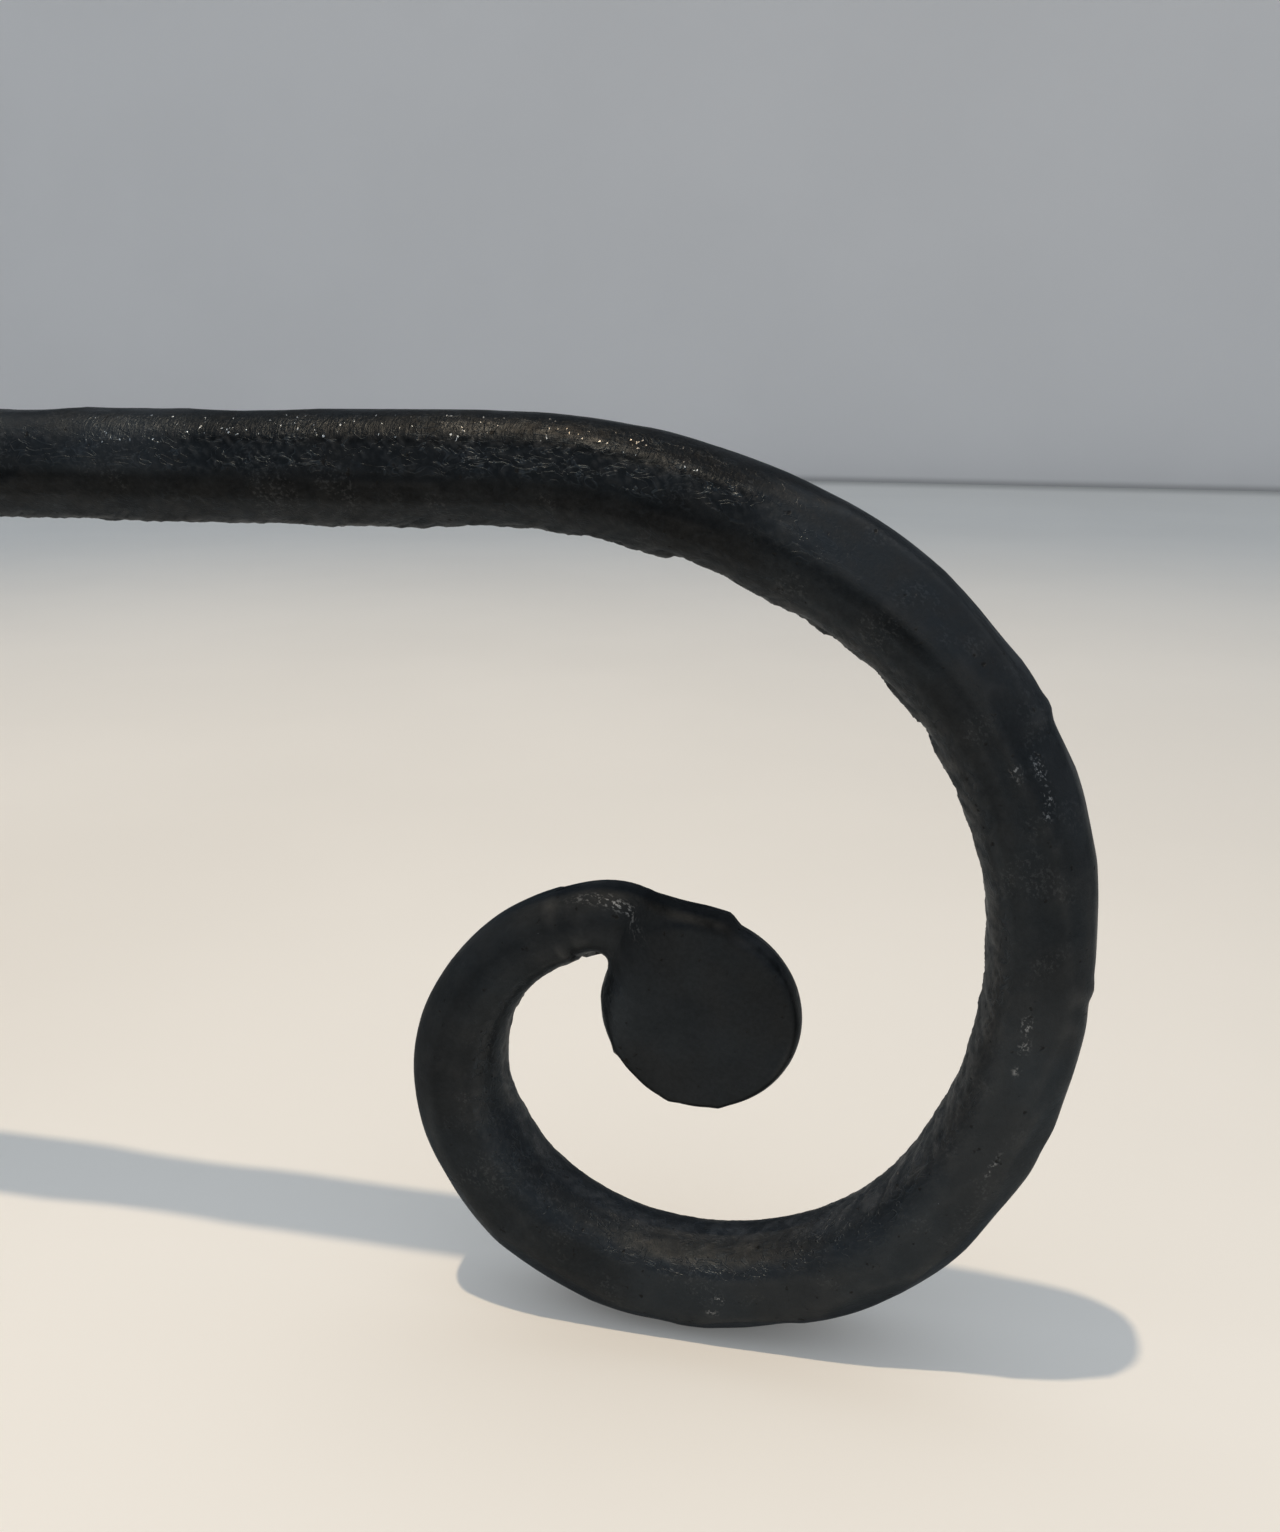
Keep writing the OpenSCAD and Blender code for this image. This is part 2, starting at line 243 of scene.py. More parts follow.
def sections(thick, wide, square, sides):
    """Points evenly spaced around each station's section: how far out, and how far across."""
    a = np.linspace(0, 2 * math.pi, FINE_SIDES + 1)
    power = 2 / (ROUND_POWER + SQUARE_POWER * square[:, None])
    swell = 1 + SQUARE_SWELL * square[:, None]

    def swollen(v, size):
        reach = np.minimum(np.abs(v) ** power * swell, 1)
        return np.sign(v) * reach * size[:, None] / 2

    out = swollen(np.sin(a), thick)
    across = swollen(np.cos(a), wide)
    steps = np.hypot(np.diff(out, axis=1), np.diff(across, axis=1))
    run = np.pad(np.cumsum(steps, axis=1), ((0, 0), (1, 0)))
    share = np.arange(sides) / sides
    out = [np.interp(share * r[-1], r, o) for r, o in zip(run, out)]
    across = [np.interp(share * r[-1], r, c) for r, c in zip(run, across)]
    return np.array(out), np.array(across)


def straight(stations, sides):
    """The bar before it is bent: [ring, point, (along, across, out)]."""
    along, _, _, _, thick, wide, square = np.array(stations).T
    out, across = sections(thick, wide, square, sides)
    return np.stack([np.repeat(along[:, None], sides, 1), across, out], axis=2)


def bent(lie, stations):
    """The straight bar's points, bent along its stations in the plane XZ."""
    _, x, z, turn, _, _, _ = np.array(stations).T[:, :, None]
    out = lie[:, :, 2]
    return np.stack([x + out * np.sin(turn), lie[:, :, 1], z + out * np.cos(turn)], axis=2)


def bends_end(ratio):
    """How far along a scroll its last bend ends."""
    return sum(radius * math.radians(sweep) for radius, sweep, _, _ in BENDS) * ratio


def round_edges(lie, stations, starts, girth):
    """Rounds the neck and the penny by how far each point lies inside their outline. The penny
    starts at a place along the bar."""
    rows = np.abs(lie[:, 0, 0]) > starts - FLATTENS * girth
    flat = bent(lie, stations)[rows][:, :, ::2]
    quarter = lie.shape[1] // 4
    outline = np.concatenate([flat[:, quarter], flat[::-1, 3 * quarter]])
    start, step = outline[:-1], np.diff(outline, axis=0)
    size = np.maximum((step ** 2).sum(axis=1), TINY)
    inside = []
    for ring in flat:
        off = ring[:, None] - start
        share = np.clip((off * step).sum(axis=2) / size, 0, 1)
        inside.append(np.linalg.norm(off - share[:, :, None] * step, axis=2).min(axis=1))
    sharpens = smooth((np.abs(lie[rows, 0, 0]) - starts) / girth, 0, PENNY_FLATTENS)[:, None]
    edge = girth * (NECK / 2 + (PENNY_ROUND - NECK / 2) * sharpens)
    rise = np.sqrt(1 - (1 - np.minimum(np.array(inside) / edge, 1)) ** 2)
    half = np.array(stations)[rows, 5][:, None] / 2
    lie[rows, :, 1] = np.sign(lie[rows][:, :, 1]) * half * rise


def way_of(side):
    """Direction of a side of the bar, as (across, out)."""
    return np.array([math.cos(math.radians(side)), math.sin(math.radians(side))])


def side_of(lie):
    """How far each point is round from the outer side: 0 there, 90 on the flanks, 180 inside."""
    return np.degrees(np.arctan2(np.abs(lie[:, :, 1]), lie[:, :, 2]))


# How softly a flat runs out, by how many degrees a blow strays round the bar, and the least and
# greatest gap between blows as shares of their spacing
BLOW_SOFT = 0.00030
BLOW_STRAYS = 9
BLOW_GAPS = (0.6, 1.4)


def strike(lie, blows):
    """Presses flats into a straight bar. A blow is its place along, its side in degrees, the
    depth that it drives the metal in, and the length of the flat that it leaves."""
    for place, side, depth, length in blows:
        way = way_of(side)
        near = np.abs(lie[:, 0, 0] - place) < length / 2
        if not near.any():
            continue
        part = lie[near]
        reach = part[:, :, 1:] @ way
        ends = (2 * (part[:, :1, 0] - place) / length) ** 2
        over = reach - reach.max(axis=1, keepdims=True) + depth * (1 - ends)
        soft = BLOW_SOFT * np.sqrt(1 - ends)
        part[:, :, 1:] -= ((over + np.hypot(over, soft)) / 2)[:, :, None] * way
        lie[near] = part


def random_blows(seed, start, end, spacing, sides, depth, length):
    """Rows of blows along a stretch, one row for each side, with depth and length as ranges."""
    rng = np.random.default_rng(seed)
    blows = []
    for side in sides:
        place = start + rng.uniform(0, spacing)
        while place < end:
            struck = side + rng.uniform(-BLOW_STRAYS, BLOW_STRAYS)
            blows.append((place, struck, rng.uniform(*depth), rng.uniform(*length)))
            place += spacing * rng.uniform(*BLOW_GAPS)
    return blows


# ---------------------------------------------------------------- the skin of the iron

SEED_STEP = 7.31


def lumps(lie, size, octaves=2, seed=0, stretch=(1, 1, 1)):
    """Noise of about -1 to 1 in lumps of a size, stretched along, across and out."""
    flat = lie.reshape(-1, 3) / (size * np.array(stretch)) + seed * SEED_STEP
    found = [noise.fractal(p, 1.0, 2.0, octaves) for p in flat.tolist()]
    return np.array(found).reshape(lie.shape[:2])


def patches(lie, size, seed, low=-0.1, high=0.35):
    """Where rough scale was left, from 0 to 1."""
    return smooth(lumps(lie, size, 2, seed), low, high)


def leaning(lie, by_out, by_across=0.0):
    """Places slid along the bar by how far out or across they lie, so that patterns slant."""
    slid = lie.copy()
    slid[:, :, 0] += by_out * lie[:, :, 2] + by_across * lie[:, :, 1]
    return slid


def skin_normals(points, closed):
    """Outward normals of a grid of rings."""
    if closed:
        along = np.roll(points, -1, 0) - np.roll(points, 1, 0)
    else:
        along = np.gradient(points, axis=0)
    around = np.roll(points, -1, 1) - np.roll(points, 1, 1)
    normals = np.cross(around, along)
    return normals / np.maximum(np.linalg.norm(normals, axis=2, keepdims=True), TINY)


def raised(points, height, closed=False):
    """A grid of rings with each point moved outward by its height."""
    return points + skin_normals(points, closed) * height[:, :, None]


# Points this many steps apart are compared to find an edge, and one that stands out by
# EDGE_FULL is a full edge
EDGE_SPAN = 2
EDGE_FULL = 0.00034
SHARP_TURN = math.radians(48)
# The marks on a piece, and what they are where nothing else is said
MARKS = {"wrinkled": 0.0, "sparkling": 0.0, "browned_and_warm_lit": 0.0, "scuffed": 0.0, "matte_and_shade": 0.35,
         "dull": 0.0}


def edges_of(points, normals, closed):
    """How much each point stands out from its neighbours, from 0 to 1."""
    if closed:
        behind, ahead = np.roll(points, EDGE_SPAN, 0), np.roll(points, -EDGE_SPAN, 0)
    else:
        padded = np.pad(points, ((EDGE_SPAN, EDGE_SPAN), (0, 0), (0, 0)), mode="edge")
        behind, ahead = padded[:-2 * EDGE_SPAN], padded[2 * EDGE_SPAN:]
    left, right = np.roll(points, EDGE_SPAN, 1), np.roll(points, -EDGE_SPAN, 1)
    proud = ((points - (behind + ahead + left + right) / 4) * normals).sum(axis=2)
    return np.clip(proud / EDGE_FULL, 0, 1)


def linked(name, data):
    """An object that is put into the scene."""
    made = bpy.data.objects.new(name, data)
    bpy.context.scene.collection.objects.link(made)
    return made


def piece(name, node, points, lie, material, marks=None, closed=False):
    """A mesh of rings that stands for a CAD node, kept inside that node's box.

    Marks say, from 0 to 1 at each point, where the scale is wrinkled, sparkling, with pale specks
    that are partly painted glints, browned, which is brown scale and in places a painted warm
    highlight, scuffed, matte, which is dry and dark scale with painted shade in places and painted
    sheen in others, dull, which is too rough to shine, edged, which is rubbed as an edge is and in
    places a painted highlight, or spared, where edges stay black.
    """
    low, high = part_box(node)
    points = np.clip(points, np.array(low), np.array(high))
    normals = skin_normals(points, closed)
    rings, sides = points.shape[:2]
    marks = marks or {}
    edge = edges_of(points, normals, closed) * (1 - marks.get("spared", 0))
    extra = {"edge": np.maximum(edge, marks.get("edged_and_highlit", 0))}
    for mark, usual in MARKS.items():
        extra[mark] = np.broadcast_to(marks.get(mark, usual), (rings, sides))
    rows = np.arange(rings if closed else rings - 1)[:, None]
    cols = np.arange(sides)[None, :]
    ahead = (rows + 1) % rings
    right = (cols + 1) % sides
    corners = [rows * sides + cols, rows * sides + right, ahead * sides + right,
               ahead * sides + cols]
    faces = np.stack([c + 0 * corners[0] for c in corners], axis=2).reshape(-1, 4).tolist()
    verts = points.reshape(-1, 3)
    places = lie.reshape(-1, 3)
    caps = 0 if closed else 2
    if caps:
        verts = np.vstack([verts, points[0].mean(axis=0), points[-1].mean(axis=0)])
        places = np.vstack([places, lie[0].mean(axis=0), lie[-1].mean(axis=0)])
        first, last = rings * sides, rings * sides + 1
        end = (rings - 1) * sides
        for i in range(sides):
            j = (i + 1) % sides
            faces.append((first, j, i))
            faces.append((last, end + i, end + j))
    mesh = bpy.data.meshes.new(name)
    mesh.from_pydata(verts.tolist(), [], faces)
    place_layer = mesh.attributes.new("forged_place", "FLOAT_VECTOR", "POINT")
    place_layer.data.foreach_set("vector", places.ravel())
    for key, values in extra.items():
        layer = mesh.attributes.new(key, "FLOAT", "POINT")
        layer.data.foreach_set("value", np.append(values.ravel(), [0.0] * caps))
    mesh.polygons.foreach_set("use_smooth", [True] * len(mesh.polygons))
    mesh.set_sharp_from_angle(angle=SHARP_TURN)
    mesh.materials.append(material)
    made = linked(name, mesh)
    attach(made, "root")
    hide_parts(node)
    return made


# ---------------------------------------------------------------- shader nodes


def add(tree, kind, inputs=(), **settings):
    """One node. Settings are its properties, and inputs are values or sockets by name."""
    made = tree.nodes.new("ShaderNode" + kind)
    for name, value in settings.items():
        setattr(made, name, value)
    for name, value in dict(inputs).items():
        if isinstance(value, bpy.types.NodeSocket):
            tree.links.new(value, made.inputs[name])
        else:
            made.inputs[name].default_value = value
    return made


def emptied(owner):
    """The shader tree of a material or a world, with nothing in it."""
    owner.use_nodes = True
    owner.node_tree.nodes.clear()
    return owner.node_tree


def maths(tree, operation, a, b=0.0):
    return add(tree, "Math", {0: a, 1: b}, operation=operation).outputs[0]


def times(tree, product, *factors):
    for factor in factors:
        product = maths(tree, "MULTIPLY", product, factor)
    return product


def plus(tree, total, *parts):
    for part in parts:
        total = maths(tree, "ADD", total, part)
    return total


def clamped(tree, value):
    return add(tree, "Clamp", {"Value": value}).outputs[0]


def spread(tree, value, low, high, to_low=0.0, to_high=1.0):
    """Value carried from low..high to to_low..to_high, smooth at both ends."""
    made = add(tree, "MapRange", {"Value": value, "From Min": low, "From Max": high,
                                  "To Min": to_low, "To Max": to_high},
               interpolation_type="SMOOTHSTEP")
    return made.outputs["Result"]


def blend(tree, share, a, b):
    """Colour a where share is 0 and colour b where it is 1."""
    made = add(tree, "Mix", {0: share, 6: a, 7: b}, data_type="RGBA")
    return made.outputs[2]


def grain_at(tree, place, scale, detail=3.0, rough=0.55, distortion=0.0):
    return add(tree, "TexNoise", {"Vector": place, "Scale": scale, "Detail": detail,
                                  "Roughness": rough, "Distortion": distortion}).outputs["Fac"]


def grained(tree, place, scale, detail, rough, low, high, to_low=0.0, to_high=1.0):
    """Noise whose values from low to high are spread from to_low to to_high."""
    return spread(tree, grain_at(tree, place, scale, detail, rough), low, high, to_low, to_high)


def stretched(tree, place, scale, lean=0.0):
    """Places leaned by an angle and scaled, so that patterns on them are drawn out."""
    return add(tree, "Mapping", {"Vector": place, "Rotation": (0, lean, 0),
                                 "Scale": scale}).outputs[0]


def crest(tree, value, sharp):
    """Thin crests: 1 where a noise value passes through its middle, and 0 away from it."""
    off = maths(tree, "ABSOLUTE", maths(tree, "SUBTRACT", value, 0.5))
    return maths(tree, "MAXIMUM", maths(tree, "SUBTRACT", 1.0, times(tree, off, sharp)), 0.0)


def effect(name, inputs):
    """An empty shader group and what it is given: a place where an input has no usual value,
    and a number or a colour where it has one."""
    group = bpy.data.node_groups.new(name, "ShaderNodeTree")
    for socket, usual in inputs.items():
        kind = "Vector" if usual is None else "Float" if isinstance(usual, float) else "Color"
        made = group.interface.new_socket(socket, in_out="INPUT", socket_type="NodeSocket" + kind)
        if usual is not None:
            made.default_value = usual
    return group, group.nodes.new("NodeGroupInput").outputs


def give(group, results):
    """Ends an effect with its results, which are numbers or colours."""
    for name, socket in results.items():
        kind = "Color" if socket.type == "RGBA" else "Float"
        group.interface.new_socket(name, in_out="OUTPUT", socket_type="NodeSocket" + kind)
    end = group.nodes.new("NodeGroupOutput")
    for name, socket in results.items():
        group.links.new(socket, end.inputs[name])
    return group


def use(tree, group, inputs):
    return add(tree, "Group", inputs, node_tree=group).outputs


def grey(value, warm=0.0):
    """A grey, with warm above 0 for a brown tinge and below 0 for a blue one."""
    return (value * (1 + warm), value, value * (1 - warm), 1)


# ---------------------------------------------------------------- effects on the iron

WRINKLES_LEAN = math.radians(10)
# Rough iron hardly shines where it is seen at a grazing angle
GRAZING = (0.54, 0.56, 0.58, 1)
# How far the crests of the wrinkles are rubbed down, and how much rougher pits and dull places
# are than the rest
CREST_WEAR = 0.22
PIT_ROUGHER = 0.2
DULL_ROUGHER = 0.3
# The near black that dry scale and painted shade darken the colour towards
MATTE_AND_SHADE_COLOUR = grey(0.002)
CREST_COLOUR = grey(0.12, -0.22)
PIT_COLOUR = grey(0.015, 0.1)
# The sparks are pale, partly bare metal and partly painted glints
SPARK_COLOUR = grey(0.42, -0.12)
SCUFF_COLOUR = grey(0.36, -0.04)


def make_scale_relief():
    """Forge scale: wrinkles and flakes where it is wrinkled, and fine grain and pits all over."""
    group, given = effect("scale_relief", {"Place": None, "Wrinkled": 0.0, "Sparkling": 0.0,
                                           "Fineness": 1.0, "Pitting": 0.5})
    place = add(group, "VectorMath", {0: given["Place"], "Scale": given["Fineness"]},
                operation="SCALE").outputs[0]
    drawn_out = stretched(group, place, (0.5, 1, 1), WRINKLES_LEAN)
    wrinkles = crest(group, grain_at(group, drawn_out, 560, 2, 0.5, 1.0), 28.0)
    broken = grained(group, drawn_out, 300, 2, 0.5, 0.38, 0.56, 0.2, 1.0)
    wrinkles = times(group, wrinkles, broken, given["Wrinkled"])
    flakes = add(group, "TexVoronoi", {"Vector": drawn_out, "Scale": 1150},
                 feature="SMOOTH_F1").outputs["Distance"]
    flakes = times(group, flakes, given["Wrinkled"])
    round_it = stretched(group, place, (1.8, 0.6, 0.6))
    strokes = times(group, grain_at(group, round_it, 1250, 2, 0.5, 0.3), given["Sparkling"])
    grain = grain_at(group, place, 2300, 3, 0.6)
    mottle = grain_at(group, place, 420, 3, 0.5)
    pit = times(group, grained(group, place, 620, 2, 0.5, 0.68, 0.76), given["Pitting"])
    # Each feature with its height, as a share of the relief
    features = ((wrinkles, 0.45), (flakes, -0.10), (grain, 0.22), (strokes, 0.6), (mottle, 0.14),
                (pit, -0.5))
    height = plus(group, *(times(group, feature, share) for feature, share in features))
    return give(group, {"Height": height, "Pit": pit, "Crest": wrinkles})


def make_edge_wear():
    """Crests and arrises where the scale is rubbed down to grey iron, and strips where a highlight
    is painted in the same grey.
    """
    group, given = effect("edge_wear", {"Place": None, "Edge": 0.0, "Amount": 0.5})
    broken = grained(group, given["Place"], 260, 4, 0.65, 0.25, 0.6)
    return give(group, {"Wear": times(group, given["Edge"], broken, given["Amount"])})


def make_fire_tints():
    """Black scale, bluish in some places, and brown where it is browned, which is brown scale
    and in places a painted warm highlight.
    """
    group, given = effect("fire_tints", {"Place": None, "Browned_and_warm_lit": 0.0, "Black": grey(0.006),
                                         "Blue": grey(0.007, -0.2), "Brown": grey(0.012, 0.3)})
    blues = grained(group, given["Place"], 60, 3, 0.5, 0.4, 0.62)
    browns = grained(group, given["Place"], 330, 5, 0.65, 0.3, 0.7, 0.25, 1.0)
    base = blend(group, blues, given["Black"], given["Blue"])
    base = blend(group, times(group, browns, given["Browned_and_warm_lit"]), base, given["Brown"])
    return give(group, {"Color": base})


def make_sparks():
    """Pale metal specks in the scale, partly bare crystals and partly painted glints: irregular,
    crowded where it sparkles.
    """
    group, given = effect("sparks", {"Place": None, "Sparkling": 0.0})
    drawn = stretched(group, given["Place"], (1.25, 0.8, 0.8))
    speck = grain_at(group, drawn, 1500, 1, 0.5, 0.4)
    crowd = times(group, given["Sparkling"],
                  grained(group, given["Place"], 240, 3, 0.6, 0.3, 0.65, 0.4, 1.0))
    needed = maths(group, "SUBTRACT", 0.87, times(group, crowd, 0.20))
    over = times(group, maths(group, "SUBTRACT", speck, needed), 25.0)
    return give(group, {"Spark": clamped(group, over)})


def make_scuffing():
    """Pale rubbed-on scuffs, broken up by the grain below them."""
    group, given = effect("scuffing", {"Place": None, "Scuffed": 0.0})
    streaky = stretched(group, given["Place"], (0.8, 1, 1))
    flecks = grained(group, streaky, 1900, 3, 0.65, 0.52, 0.62)
    return give(group, {"Scuff": times(group, flecks, given["Scuffed"])})


def make_matting_and_shade():
    """Darkens the scale where it is dry and unwaxed, and where shade is painted on it, with a fine
    mottle.
    """
    group, given = effect("matting_and_shade", {"Place": None, "Color": grey(0.03), "Matte": 0.3})
    fine = grained(group, given["Place"], 1300, 3, 0.7, 0.3, 0.7, -0.06, 0.06)
    broad = grained(group, given["Place"], 110, 3, 0.5, 0.3, 0.7, -0.03, 0.03)
    darkened = clamped(group, plus(group, given["Matte"], fine, broad))
    return give(group, {"Color": blend(group, darkened, given["Color"], MATTE_AND_SHADE_COLOUR)})


scale_relief = make_scale_relief()
edge_wear = make_edge_wear()
fire_tints = make_fire_tints()
sparks = make_sparks()
scuffing = make_scuffing()
matting_and_shade = make_matting_and_shade()


def iron(name, black, blue, brown, bronze, wear, worn_colour, fineness, pitting, sheen, relief):
    """Scaled and waxed iron, mixed from the effects above. Sheen is its range of roughness."""
    material = bpy.data.materials.new(name)
    tree = emptied(material)

    def marked(mark, output="Fac"):
        return add(tree, "Attribute", attribute_name=mark).outputs[output]

    place = marked("forged_place", "Vector")
    browned_and_warm_lit = marked("browned_and_warm_lit")
    sparkling = marked("sparkling")
    skin = use(tree, scale_relief, {"Place": place, "Wrinkled": marked("wrinkled"),
                                    "Sparkling": sparkling, "Fineness": fineness,
                                    "Pitting": pitting})
    worn = use(tree, edge_wear, {"Place": place, "Edge": marked("edge"),
                                 "Amount": wear})["Wear"]
    tint = use(tree, fire_tints, {"Place": place, "Browned_and_warm_lit": browned_and_warm_lit, "Black": black,
                                  "Blue": blue, "Brown": brown})["Color"]
    spark = use(tree, sparks, {"Place": place, "Sparkling": sparkling})["Spark"]
    scuff = use(tree, scuffing, {"Place": place, "Scuffed": marked("scuffed")})["Scuff"]
    colour = use(tree, matting_and_shade, {"Place": place, "Color": tint, "Matte": marked("matte_and_shade")})["Color"]
    # Layers over the scale; the sparks among them are painted glints as well as bare metal, bronze
    # where a warm highlight is painted
    layers = ((worn, worn_colour), (times(tree, skin["Crest"], CREST_WEAR), CREST_COLOUR),
              (skin["Pit"], PIT_COLOUR), (spark, blend(tree, browned_and_warm_lit, SPARK_COLOUR, bronze)),
              (scuff, SCUFF_COLOUR))
    for share, layer in layers:
        colour = blend(tree, share, colour, layer)
    rough = plus(tree, grained(tree, place, 160, 4, 0.6, 0.3, 0.7, *sheen),
                 times(tree, skin["Pit"], PIT_ROUGHER), times(tree, marked("dull"), DULL_ROUGHER))
    bump = add(tree, "Bump", {"Height": skin["Height"], "Strength": 1.0, "Distance": relief})
    surface = add(tree, "BsdfPrincipled", {
        "Base Color": colour, "Roughness": rough, "Metallic": 1.0,
        "Normal": bump.outputs["Normal"], "Specular Tint": GRAZING})
    output = add(tree, "OutputMaterial", {"Surface": surface.outputs["BSDF"]})
    output.is_active_output = True
    return material


def waxed_scale(name):
    return iron(name, black=grey(0.037, -0.11), blue=grey(0.038, -0.16), brown=grey(0.042, 0.14),
                bronze=(0.48, 0.34, 0.18, 1), wear=0.45, worn_colour=grey(0.15, 0.0),
                fineness=1.0, pitting=0.6, sheen=(0.36, 0.52), relief=0.00022)


def worn_scale(name):
    return iron(name, black=grey(0.050, -0.04), blue=grey(0.052, -0.12), brown=grey(0.054, 0.2),
                bronze=(0.42, 0.30, 0.18, 1), wear=0.6, worn_colour=grey(0.17, 0.03),
                fineness=1.2, pitting=0.4, sheen=(0.34, 0.5), relief=0.00014)


# ---------------------------------------------------------------- the billet bar

FINE_STEP = 0.0005
SCROLL_STEP = 0.00085
HIDDEN_STEP = 0.002
FINE_FROM = -0.095
BILLET_SIDES = 120
# How softly the small flat that the scroll stands on runs out
SOLE_SOFT = 0.0005

BEND_X = AXIS + RUN
SHOULDER_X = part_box("billet_collar")[1].x
TENON_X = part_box("billet_washer")[0].x


def dome(base, height, radius, steps, toward):
    """Places and radii of a rivet's dome, from its tip to its base."""
    ball = (radius ** 2 + height ** 2) / (2 * height)
    rows = []
    for i in range(steps):
        a = math.asin(radius / ball) * (i + 0.5) / steps
        rows.append((base + toward * (height - ball + ball * math.cos(a)), ball * math.sin(a)))
    rows.append((base, radius))
    return rows


def rivet(base, tenon, steps=14):
    """The dome that closes a tenon below or before its washer."""
    return dome(base, RIVET_H, (tenon + RIVET_SPREAD) / 2, steps, -1)


def run_size(s):
    """Section of the level run: square at the front, and round from ROUNDED on."""
    f = float(smooth(s, -ROUNDED - TURNS_ROUND, -ROUNDED))
    return BAR, BAR, SQUARE + (ROUND - SQUARE) * f ** 0.5


def billet_line():
    front = SHOULDER_X - BEND_X
    rows = []
    for x, r in rivet(TENON_X, TENON):
        rows.append((x - BEND_X, x, BILLET_Z, 0.0, 2 * r, 2 * r, SCROLL))
    for x in (TENON_X, SHOULDER_X):
        rows.append((x - BEND_X, x, BILLET_Z, 0.0, TENON, TENON, SQUARE))
    rows += level_rows(front, FINE_FROM, BEND_X, BILLET_Z, HIDDEN_STEP, run_size)
    rows += level_rows(FINE_FROM, 0, BEND_X, BILLET_Z, FINE_STEP, run_size)
    return rows + placed(scroll_rows(1, 1, FINE_STEP, SCROLL_STEP), BEND_X, BILLET_Z)


def billet_blows():
    """The smith's blows on the billet bar."""
    blows = random_blows(11, -0.3, -0.11, 0.021, (OUTER, NEAR, INNER, 0), (0.0001, 0.0003),
                         (0.018, 0.034))
    blows += random_blows(12, -0.07, 0.02, 0.024, (OUTER, 20, 160), (0.0001, 0.0002),
                          (0.02, 0.04))
    blows += random_blows(13, 0.02, 0.27, 0.015, (OUTER,), (0.0001, 0.0003), (0.012, 0.02))
    blows += random_blows(14, 0.08, 0.27, 0.019, (40, 140), (0.0002, 0.0005), (0.014, 0.03))
    blows += random_blows(15, 0.10, 0.3, 0.026, (0, NEAR), (0.0002, 0.0006), (0.02, 0.04))
    # Flats on the top and sides where the bar begins to turn square
    blows += [(-0.086, OUTER, 0.0006, 0.027), (-0.097, NEAR, 0.0011, 0.036),
              (-0.097, 0, 0.0011, 0.036)]
    # The long flats that light up on the shoulder, and the flats below its corner
    blows += [(0.059, 141, 0.0015, 0.044), (0.030, 122, 0.0005, 0.04), (0.052, 48, 0.0009, 0.07),
              (0.091, 150, 0.0006, 0.024), (0.077, 96, 0.0002, 0.017)]
    # The pale facets low on the outside
    blows += [(0.153, 130, 0.0004, 0.020), (0.172, 126, 0.0004, 0.026), (0.209, 136, 0.0006, 0.016)]
    return blows


# Between these places along the billet bar its neck turns into the penny
TO_PENNY = (0.325, 0.34)
# Where the bar was left proud, or drawn in, on each side: place, height and half length
UNEVEN = {
    OUTER: (
        (-0.008, 0.00035, 0.012), (0.053, 0.0003, 0.014), (0.083, 0.0005, 0.004),
        (0.0865, 0.0005, 0.0014), (0.098, 0.0003, 0.006), (0.106, 0.00055, 0.013),
        (0.1275, 0.0005, 0.0012), (0.129, -0.0004, 0.003), (0.1535, 0.0007, 0.006),
        (0.154, -0.0004, 0.003), (0.158, 0.0008, 0.008), (0.175, 0.0005, 0.008),
        (0.176, 0.0004, 0.009), (0.202, -0.0012, 0.006), (0.230, 0.0006, 0.005),
        (0.252, -0.0006, 0.016), (0.265, -0.0005, 0.005), (0.285, 0.0006, 0.010),
        (0.328, 0.0006, 0.006),
    ),
    INNER: (
        (-0.006, -0.0005, 0.009), (0.035, -0.0008, 0.006), (0.062, 0.0004, 0.004),
        (0.092, 0.0004, 0.008), (0.150, -0.0003, 0.012), (0.240, -0.0008, 0.014),
        (0.265, 0.0007, 0.008), (0.304, -0.0009, 0.016), (0.3215, -0.0009, 0.003),
        (0.3355, 0.0004, 0.0007), (0.3385, -0.0008, 0.005), (0.3475, 0.0003, 0.0012),
        (0.3555, 0.0003, 0.0009),
    ),
}


def unevenness(lie):
    """Height of the swellings and hollows left by the hammer."""
    along = lie[:, :, 0]
    round_by = np.arctan2(lie[:, :, 2], lie[:, :, 1])
    at_rim = np.abs(lie[:, :, 2]) / np.abs(lie[:, :, 2]).max(axis=1, keepdims=True)
    on_face = smooth(along, TO_PENNY[0], 0.330) * (1 - smooth(at_rim, 0.80, 0.96))
    height = np.zeros(along.shape)
    for side, swellings in UNEVEN.items():
        facing = np.maximum(np.cos(round_by - math.radians(side)), 0) ** 2
        for place, size, reach in swellings:
            height += size * facing * np.exp(-((along - place) / reach) ** 2)
    return height * (1 - on_face)


def between(value, low, high, soft):
    """1 from low to high, and 0 outside them, with soft ends."""
    return smooth(value, low - soft, low) * (1 - smooth(value, high, high + soft))


def ribs(lie):
    """The slanting ribs along the inner side of the billet bar, from about -1 to 1."""
    return lumps(leaning(lie, -0.5, 0.9), 0.0015, 2, 6, (1, 2.2, 2.2))


